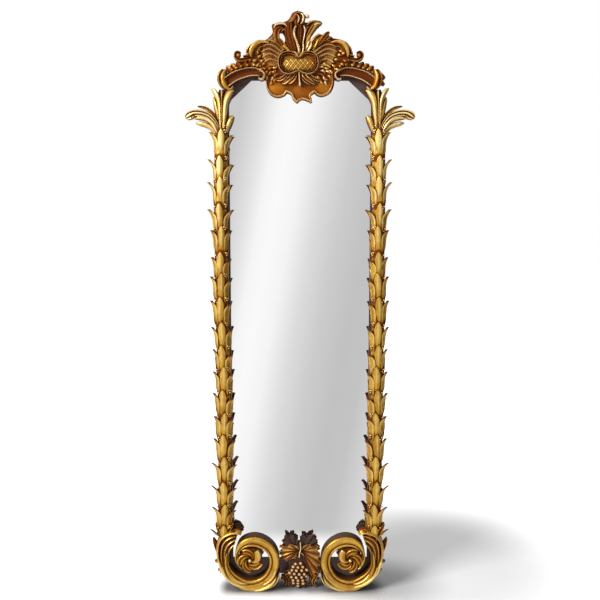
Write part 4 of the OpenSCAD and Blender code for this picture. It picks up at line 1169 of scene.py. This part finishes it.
def plume_and_finial():
    """The leafy plume over the cartouche, its side lobes and the finial."""
    strips = [
        # ribs: beaded one on the left, forked one on the right
        ([(2, 30, 5, 18), (2, 47, 5.5, 21), (-6, 74, 5, 22), (-13, 93, 5.5, 23),
          (-14, 112, 6, 22), (-7, 128, 4, 18)], ROUND, 0.95),
        ([(12, 30, 4, 16), (18, 50, 3.5, 19), (17, 72, 3.2, 20), (21, 90, 3.4, 21),
          (24, 112, 3.6, 21), (20, 127, 2.5, 16)], ROUND, 1.1),
        ([(22, 96, 3, 18), (27, 112, 3.4, 20), (34, 124, 2, 15)], ROUND, 1.0),
        # dark leaves of the body
        ([(-10, 44, 5, 10), (-22, 74, 8, 15), (-28, 104, 9, 17), (-30, 132, 8, 16),
          (-22, 148, 3, 12)], FOLD, 0.38),
        ([(-20, 42, 4, 9), (-33, 68, 6, 13), (-40, 98, 6, 14), (-42, 130, 5, 12)], FOLD, 0.42),
        ([(6, 44, 4, 9), (4, 76, 6, 14), (4, 106, 7, 15), (6, 134, 4, 12)], FOLD, 0.36),
        ([(24, 44, 4, 9), (32, 62, 5, 14), (36, 80, 5, 15), (34, 98, 3, 12)], SOFT, 0.9),
        ([(32, 42, 4, 9), (42, 58, 5, 13), (46, 72, 2, 10)], SOFT, 0.95),
        ([(-30, 40, 4, 9), (-44, 54, 5, 13), (-56, 60, 3, 10)], SOFT, 0.7),
        # finial: dark slope, crown, cream rib, and the leaf that curls round it
        ([(-34, 140, 4, 12), (-24, 148, 8, 18), (-12, 164, 9, 21), (-4, 178, 7, 20),
          (4, 188, 2.5, 13)], SOFT, 0.42),
        ([(-6, 132, 6, 12), (-6, 150, 8, 16), (-2, 168, 7, 18), (6, 182, 3, 13)], FOLD, 0.6),
        ([(-6, 172, 4, 16), (2, 178, 6, 22), (14, 176, 6, 22), (19, 168, 3, 16)], SOFT, 0.5),
        ([(-8, 171, 2.4, 20), (2, 163, 3.2, 24), (4, 150, 3.2, 24), (-2, 138, 2.6, 20)], ROUND,
         1.15),
        ([(6, 174, 3, 18), (16, 171, 5, 24), (21, 158, 5.5, 25), (17, 143, 5, 23), (8, 133, 2, 16)],
         SOFT, 0.95),
        ([(4, 166, 2, 16), (11, 162, 3.4, 20), (13, 152, 3.4, 20), (8, 142, 2, 15)], SOFT, 0.8),
        # lobe on the left, round the opening, with its bright lip
        ([(-58, 58, 6, 12), (-72, 76, 10, 17), (-76, 98, 11, 20), (-70, 116, 10, 20),
          (-56, 124, 6, 16)], FOLD, 0.54),
        ([(-84, 120, 3, 16), (-78, 131, 4.5, 22), (-60, 136, 5, 23), (-44, 132, 4, 20),
          (-38, 124, 2, 14)], SOFT, 0.95),
        ([(-62, 104, 3, 14), (-52, 116, 4, 16), (-42, 112, 3, 14)], SOFT, 0.5),
        # lobe on the right
        ([(26, 60, 5, 12), (34, 86, 8, 18), (44, 110, 10, 22), (59, 130, 10.5, 24),
          (72, 137, 9, 22), (81, 132, 5, 17)], SOFT, 0.52),
        ([(54, 128, 3, 24), (66, 134, 4.5, 28), (78, 134, 4, 25)], SOFT, 0.85),
        ([(30, 92, 2.5, 20), (40, 112, 3, 26), (52, 128, 2.5, 26)], ROUND, 0.8),
        ([(40, 88, 3, 10), (52, 108, 5, 15), (64, 122, 4, 15), (72, 124, 2, 12)], SOFT, 0.55),
        ([(30, 132, 3, 12), (42, 141, 4, 18), (60, 144, 4, 18), (74, 143, 2, 13)], SOFT, 0.5),
        # roots, where the ribs meet over the cartouche
        ([(-16, 40, 2, 22), (-8, 34, 4, 25), (-2, 26, 5, 25), (2, 19, 2, 22)], SOFT, 0.8),
        ([(26, 38, 2, 22), (17, 33, 4, 25), (9, 26, 5, 25), (4, 19, 2, 22)], SOFT, 0.8),
    ]
    parts = [on_crest("plume_strip", path, section, BOARD_T, gilt_and_painted_light) for path, section, gilt_and_painted_light in strips]
    bead = round_ball("bead", 2.6, (-0.3, 0.4), 8, 6)
    for x, z in curve([(2, 56), (-6, 78), (-13, 96), (-14, 112), (-9, 124)], 3):
        parts.append(ball_at(bead, x, z + CREST_Z, BOARD_T + 21))
    knob = round_ball("knob", 8.5, (-0.2, 0.5), 16, 10)
    parts.append(ball_at(knob, 32, CREST_Z + 162, BOARD_T + 14))
    discard(bead, knob)
    return gather("plume_and_finial", parts)


hang(settle(plume_and_finial()), crest_gilt, "antique_gilt", "plume")


LOBES_RX, LOBES_RZ = 72.0, 40.0  # half the width of both lobes, half their height
LOBE = 0.64  # share of that half width that each lobe's own radius takes


def two_lobes(grow):
    """Outline of two overlapping ovals, seen from their common centre."""
    count = 72
    a = np.radians(np.arange(count) * 360 / count)
    reach = np.zeros(count)
    for side in (-1, 1):
        cx, rx, rz = side * LOBES_RX * (1 - LOBE), LOBES_RX * LOBE + grow, LOBES_RZ + grow
        ca, sa = np.cos(a), np.sin(a)
        qa = (ca / rx) ** 2 + (sa / rz) ** 2
        qb = -2 * cx * ca / rx**2
        qc = (cx / rx) ** 2 - 1
        reach = np.maximum(reach, (-qb + np.sqrt(qb**2 - 4 * qa * qc)) / (2 * qa))
    return np.column_stack([reach * np.cos(a), CREST_Z + reach * np.sin(a)])


CARTOUCHE_LINES = [  # inset, half width, depth, gilding
    (0, 2.5, 26, 0.94), (-6.5, 1.7, 22, 0.8),
]


def cartouche_rim():
    """A ground with a bright line and a finer one inside it, round each lobe."""
    parts = [board("cartouche_ground", two_lobes(-3), 9, BOARD_T, 0.42, 1)]
    for side in (-1, 1):
        for grow, half, depth, gilt_and_painted_light in CARTOUCHE_LINES:
            lobe = [(6, 26 + grow), (14, 35 + grow), (34, 39 + grow), (54, 34 + grow),
                    (66 + grow, 20 + grow / 2), (69 + grow, 1), (65 + grow, -17 - grow / 2),
                    (53, -31 - grow), (36, -36 - grow), (20, -33 - grow), (6, -27 - grow)]
            path = [(side * x, z, half, depth) for x, z in lobe]
            parts.append(on_crest("cartouche_line", path, ROUND, BOARD_T, gilt_and_painted_light))
    return gather("cartouche_rim", parts)


hang(settle(cartouche_rim()), crest_gilt, "antique_gilt", "cartouche_frame")


def trellis_cushion():
    """A crowned cushion with crossing ridges, a stud on each crossing and pillows between."""
    rx, rz, sunk = 60, 25.5, 3.5
    crown, highest = 15, 36.4
    slope = math.radians(38)
    pitch = 118 / 7 * math.cos(slope)
    rows, cols = 52, 220
    q = np.linspace(0.01, 1, rows)[:, None]
    a = np.linspace(0, 2 * math.pi, cols, endpoint=False)[None, :]
    notch = 1 - 0.22 * np.exp(-(((a - math.pi / 2) / 0.26) ** 2))
    x, z = rx * q * np.cos(a), rz * q * notch * np.sin(a) - sunk
    ridges, wave = [], []
    for side in (-1, 1):
        d = x * math.cos(slope) + side * z * math.sin(slope)
        off = (d / pitch + 0.5) % 1 - 0.5
        ridges.append(np.exp(-((off * pitch / 1.7) ** 2)))
        wave.append(np.cos(2 * math.pi * off))
    stud = ridges[0] * ridges[1]
    pillow = (1 - wave[0]) * (1 - wave[1]) / 4
    out = BOARD_T + 3 + crown * np.sqrt(np.maximum(0, 1 - q**2.4))
    out = out + 1.4 * np.maximum(*ridges) + 1.4 * stud + 1.2 * pillow
    out = np.minimum(out, highest)
    wear = np.clip(0.12 + 0.56 * np.maximum(*ridges) + 0.28 * stud + 0.34 * pillow, 0, 1.1)
    x, z = np.vstack([x, x[-1:]]), np.vstack([z, z[-1:]])
    out = np.vstack([out, np.full((1, cols), BOARD_T + 0.2)])
    wear = np.vstack([wear, np.full((1, cols), 0.1)])
    return lay("trellis_cushion", np.stack([x, out, CREST_Z + z], 2), wear)


hang(settle(trellis_cushion()), pale_gilt, "gilt", "lattice_cushion")


def apron_edge():
    """The shield's scalloped lower edge, from left to right."""
    z = CREST_Z
    scallops = [
        [[-118, z - 30], [-118, z - 70], [-104, z - 94], [-80, z - 104], [-56, z - 98],
         [-46, z - 88]],
        [[-46, z - 88], [-32, z - 94], [-25, z - 110], [-10, z - 124]],
        [[-10, z - 124], [8, z - 111], [40, z - 122]],
        [[40, z - 122], [42, z - 110], [38, z - 98], [52, z - 88]],
        [[52, z - 88], [60, z - 96], [80, z - 100], [106, z - 88], [120, z - 62], [120, z - 30]],
    ]
    *runs, last = [curve(points, 5) for points in scallops]
    return np.vstack([run[:-1] for run in runs] + [last])


APRON_EDGE = apron_edge()
APRON_T, APRON_RUB = 11, 0.34
FIELDS = [  # x, z, half width, half height, gilding with painted sheen in the middle
    (-82, -72, 31, 25, 0.76), (84, -70, 30, 24, 0.70), (6, -82, 34, 24, 0.46),
]


def apron():
    """The shield over the glass. Its three fields swell, with a painted sheen that brightens their
    gilding in the middle.
    """
    outline = np.vstack([APRON_EDGE, [[0, CREST_Z - 30]]])
    parts = [board("apron_board", outline, APRON_T, 0, APRON_RUB, 1.5)]
    rows, cols = 14, 40
    q = np.linspace(0.02, 1, rows)[:, None]
    a = np.linspace(0, 2 * math.pi, cols, endpoint=False)[None, :]
    for x, z, rx, rz, gilt_and_painted_light in FIELDS:
        out = APRON_T + 4.0 * (1 - q**2)
        grid = np.stack([x + rx * q * np.cos(a), out + 0 * a, CREST_Z + z + rz * q * np.sin(a)], 2)
        wear = gilt_and_painted_light + (APRON_RUB - gilt_and_painted_light) * q**3 + 0 * a
        foot = grid[-1:] * (1, 0, 1) + (0, APRON_T - 2, 0)
        parts.append(lay("field_swell", np.vstack([grid, foot]), np.vstack([wear, wear[-1:]])))
    return gather("shield_apron", parts)


hang(apron(), copper_ground, "crest_ground", "crest_apron")


def acanthus():
    """Leaves under the cartouche, and the gilt rim of the apron, which is stouter low down."""
    inset = APRON_EDGE + across_path(APRON_EDGE) * 4.3
    half = 3.0 + 1.2 * (APRON_EDGE[:, 1] < CREST_Z - 78)
    rim = np.column_stack([inset, half, np.full(len(inset), 18.5)])
    parts = [carve("apron_rim", rim, ROUND, steps=1, gilt_and_painted_light=0.82)]
    lift = BOARD_T - 8
    leaves = [
        [(-7, -33, 4, 12), (-14, -47, 6, 20), (-28, -59, 5.5, 19), (-40, -63, 2, 12)],
        [(-20, -35, 4, 12), (-32, -49, 6, 20), (-48, -60, 5.5, 19), (-60, -63, 2, 12)],
        [(-36, -36, 4, 12), (-50, -46, 6, 20), (-66, -53, 5, 18), (-78, -52, 2, 12)],
    ]
    for side in (-1, 1):
        for path in leaves:
            path = [(side * x, z, half, depth) for x, z, half, depth in path]
            parts.append(on_crest("acanthus_leaf", path, FOLD, lift, 1.04))
    bud = [(3, -30, 4, 22), (3, -44, 3.4, 24), (3, -58, 3.6, 24), (3, -66, 5, 22), (3, -71, 2, 14)]
    parts.append(on_crest("bud", bud, ROUND, lift, 1.1))
    return gather("acanthus_leaves", parts)


hang(settle(acanthus()), crest_gilt, "antique_gilt", "apron_acanthus")

# ---- Studio, in metres --------------------------------------------------------------------

WHITE = rgb(1, 1, 1)


def show(tree, shader, output="Material Output"):
    """Sends a shader to the output of its material or world."""
    tree.links.new(shader.outputs[0], tree.nodes[output].inputs["Surface"])


def blended(tree, share, a, b):
    """Shader a where the share is 0 and b where it is 1."""
    return add(tree, "ShaderNodeMixShader", {0: share, 1: a.outputs[0], 2: b.outputs[0]})


def clean_rays(tree):
    """1 for what the camera, the glass or bright metal sees."""
    path = add(tree, "ShaderNodeLightPath").outputs
    seen = arithmetic(tree, "MAXIMUM", path["Is Camera Ray"], path["Is Glossy Ray"])
    return arithmetic(tree, "MAXIMUM", seen, path["Is Transmission Ray"])


def object_place(tree):
    return add(tree, "ShaderNodeTexCoord").outputs["Object"]


def away_from(tree, place):
    """How far each point of a sheet is from a place."""
    return add(tree, "ShaderNodeVectorMath", {0: object_place(tree), 1: place},
               operation="DISTANCE").outputs["Value"]


def sheet(name, size, place, turn=(0, 0, 0)):
    """A flat sheet for the studio, with its place in its mesh."""
    deselect()
    bpy.ops.mesh.primitive_plane_add(size=size, location=place, rotation=turn)
    flat = bpy.context.object
    flat.name = name
    bpy.ops.object.transform_apply(location=True, rotation=True, scale=False)
    return flat


def studio():
    """Soft light all round, and plain white for whatever looks at it directly."""
    world = bpy.data.worlds.new("pale_studio")
    scene.world = world
    world.use_nodes = True
    tree = world.node_tree
    soft = tree.nodes["Background"]
    soft.inputs["Color"].default_value = rgb(0.95, 0.97, 1.0)
    soft.inputs["Strength"].default_value = 0.36
    white = add(tree, "ShaderNodeBackground", {"Color": WHITE, "Strength": 1.0})
    show(tree, blended(tree, clean_rays(tree), soft, white), "World Output")


FOOTPRINT = (("X", 0.26), ("Y", 0.045))  # half the width and depth that the mirror stands on
# the right foot is the middle of the painted shadow on the floor
RIGHT_FOOT = (0.32, 0.03, 0)
LONG_SHADOW = (0.42, 0.22, 0)  # middle of the shadow that the key lamp throws


def past_footprint(tree):
    """How far each point of the floor is from the footprint, 0 if it is under the mirror."""
    spot = add(tree, "ShaderNodeSeparateXYZ", {0: object_place(tree)}).outputs
    squares = []
    for axis, half in FOOTPRINT:
        past = arithmetic(tree, "SUBTRACT", arithmetic(tree, "ABSOLUTE", spot[axis]), half)
        past = arithmetic(tree, "MAXIMUM", past, 0.0)
        squares.append(arithmetic(tree, "MULTIPLY", past, past))
    return arithmetic(tree, "SQRT", arithmetic(tree, "ADD", *squares))


def pale_floor():
    """White, with a painted shadow in its own colour round the right foot and a painted contact
    shadow where ambient occlusion finds the mirror close, and glowing white away from its shadow,
    so that the floor fades into the backdrop."""
    floor = sheet("floor", 24, (0, 0, -0.0005))
    material, tree, shader = finish_named("pale_floor")
    shader.inputs["Roughness"].default_value = 0.9
    shader.inputs["Specular IOR Level"].default_value = 0.0
    near = away_from(tree, RIGHT_FOOT)
    painted_contact_shadow = add(tree, "ShaderNodeAmbientOcclusion", {"Distance": 0.08}, samples=8).outputs["AO"]
    # Painted shadow: the floor's colour darkens round the right foot, and to dark grey where the
    # mirror stands close.
    colour = mixed(tree, ranged(tree, near, 0.03, 0.30), rgb(0.62, 0.62, 0.62),
                   rgb(0.95, 0.95, 0.95))
    colour = mixed(tree, ranged(tree, painted_contact_shadow, 0.42, 0.95), rgb(0.20, 0.20, 0.20), colour)
    tree.links.new(colour, shader.inputs["Base Color"])
    share = arithmetic(
        tree, "MULTIPLY", ranged(tree, away_from(tree, LONG_SHADOW), 0.35, 1.0, 0.2, 1),
        ranged(tree, near, 0.06, 0.30, 0.2, 1))
    share = arithmetic(tree, "MULTIPLY", share, ranged(tree, past_footprint(tree), 0.01, 0.07))
    share = arithmetic(tree, "MULTIPLY", clean_rays(tree), share)
    glow = add(tree, "ShaderNodeEmission", {"Color": WHITE, "Strength": 1.5})
    show(tree, blended(tree, share, shader, glow))
    floor.data.materials.append(material)
    floor.visible_glossy = False


FALLOFF = (  # share of the way across the glass, and how light it is there
    (0, 0.61), (0.115, 0.79), (0.19, 0.96), (0.26, 1.0), (0.355, 0.95), (0.475, 0.75),
    (0.595, 0.63), (0.74, 0.56), (0.855, 0.57), (1, 0.72),
)
FALLOFF_SLANT = (0.6485, 0, -0.122)  # share of the way for each metre across, back and up
FALLOFF_START = -0.551
FLOOR_LINE = (-1.34, -1.20)  # height on the backdrop below which it is white, like the floor


def backdrop():
    """What the glass reflects: a white studio with a soft grey falloff. Only mirrors see it."""
    flat = sheet("backdrop", 9, (0, -3.58, 1.0), (math.radians(90), 0, 0))
    material, tree, _ = finish_named("backdrop_falloff")
    slant = add(tree, "ShaderNodeVectorMath", {0: object_place(tree), 1: FALLOFF_SLANT},
                operation="DOT_PRODUCT").outputs["Value"]
    slant = add(tree, "ShaderNodeMapRange", {
        "Value": slant, "From Min": FALLOFF_START, "From Max": FALLOFF_START + 1,
    }).outputs[0]
    ramp = add(tree, "ShaderNodeValToRGB", {"Fac": slant})
    bands = ramp.color_ramp.elements
    while len(bands) < len(FALLOFF):
        bands.new(0.5)
    for band, (place, level) in zip(bands, FALLOFF):
        band.position = place
        band.color = rgb(level, level, level * 1.003)
    height = add(tree, "ShaderNodeSeparateXYZ", {0: object_place(tree)}).outputs["Z"]
    colour = mixed(tree, ranged(tree, height, *FLOOR_LINE), WHITE, ramp.outputs["Color"])
    show(tree, add(tree, "ShaderNodeEmission", {"Color": colour, "Strength": 1.0}))
    flat.data.materials.append(material)
    flat.visible_camera = flat.visible_diffuse = flat.visible_shadow = False
    flat.visible_transmission = flat.visible_volume_scatter = False


def flag():
    """A dark cloth on the right, so that the gold has a shaded side. Nothing sees it directly,
    and it fades out to its edges, so that the glass shows no hard outline of it."""
    middle = (2.3, -0.6, 1.4)
    dark_within, clear_beyond = 1.3, 2.9
    cloth = sheet("flag", 6, middle, (0, math.radians(90), 0))
    material, tree, shader = finish_named("flag_cloth")
    shader.inputs["Base Color"].default_value = rgb(0.05, 0.045, 0.04)
    shader.inputs["Roughness"].default_value = 0.9
    faded = ranged(tree, away_from(tree, middle), dark_within, clear_beyond)
    clear = add(tree, "ShaderNodeBsdfTransparent")
    show(tree, blended(tree, faded, shader, clear))
    cloth.data.materials.append(material)
    cloth.visible_camera = cloth.visible_shadow = False


def lamp(name, place, aim, size, power):
    data = bpy.data.lights.new(name, "AREA")
    data.size, data.energy = size, power
    made = bpy.data.objects.new(name, data)
    made.location = place
    made.rotation_euler = (Vector(aim) - Vector(place)).to_track_quat("-Z", "Y").to_euler()
    scene.collection.objects.link(made)


def viewpoint(place, pitch, lens):
    """A camera at a place, pitched down by so many degrees."""
    camera = bpy.data.cameras.new("camera")
    camera.lens, camera.sensor_width = lens, 36
    viewer = bpy.data.objects.new("camera", camera)
    viewer.location = place
    viewer.rotation_euler = (math.radians(90 - pitch), 0, 0)
    scene.collection.objects.link(viewer)
    scene.camera = viewer


studio()
pale_floor()
backdrop()
flag()
lamp("key", (-3.0, -2.6, 3.2), (0, 0, 0.9), 1.9, 240)
lamp("fill", (1.8, -3.6, 2.4), (0, 0, 1.0), 2.0, 14)
viewpoint((0, -3.156, 1.4765), 7, 52.7)
scene.view_settings.view_transform = "Standard"
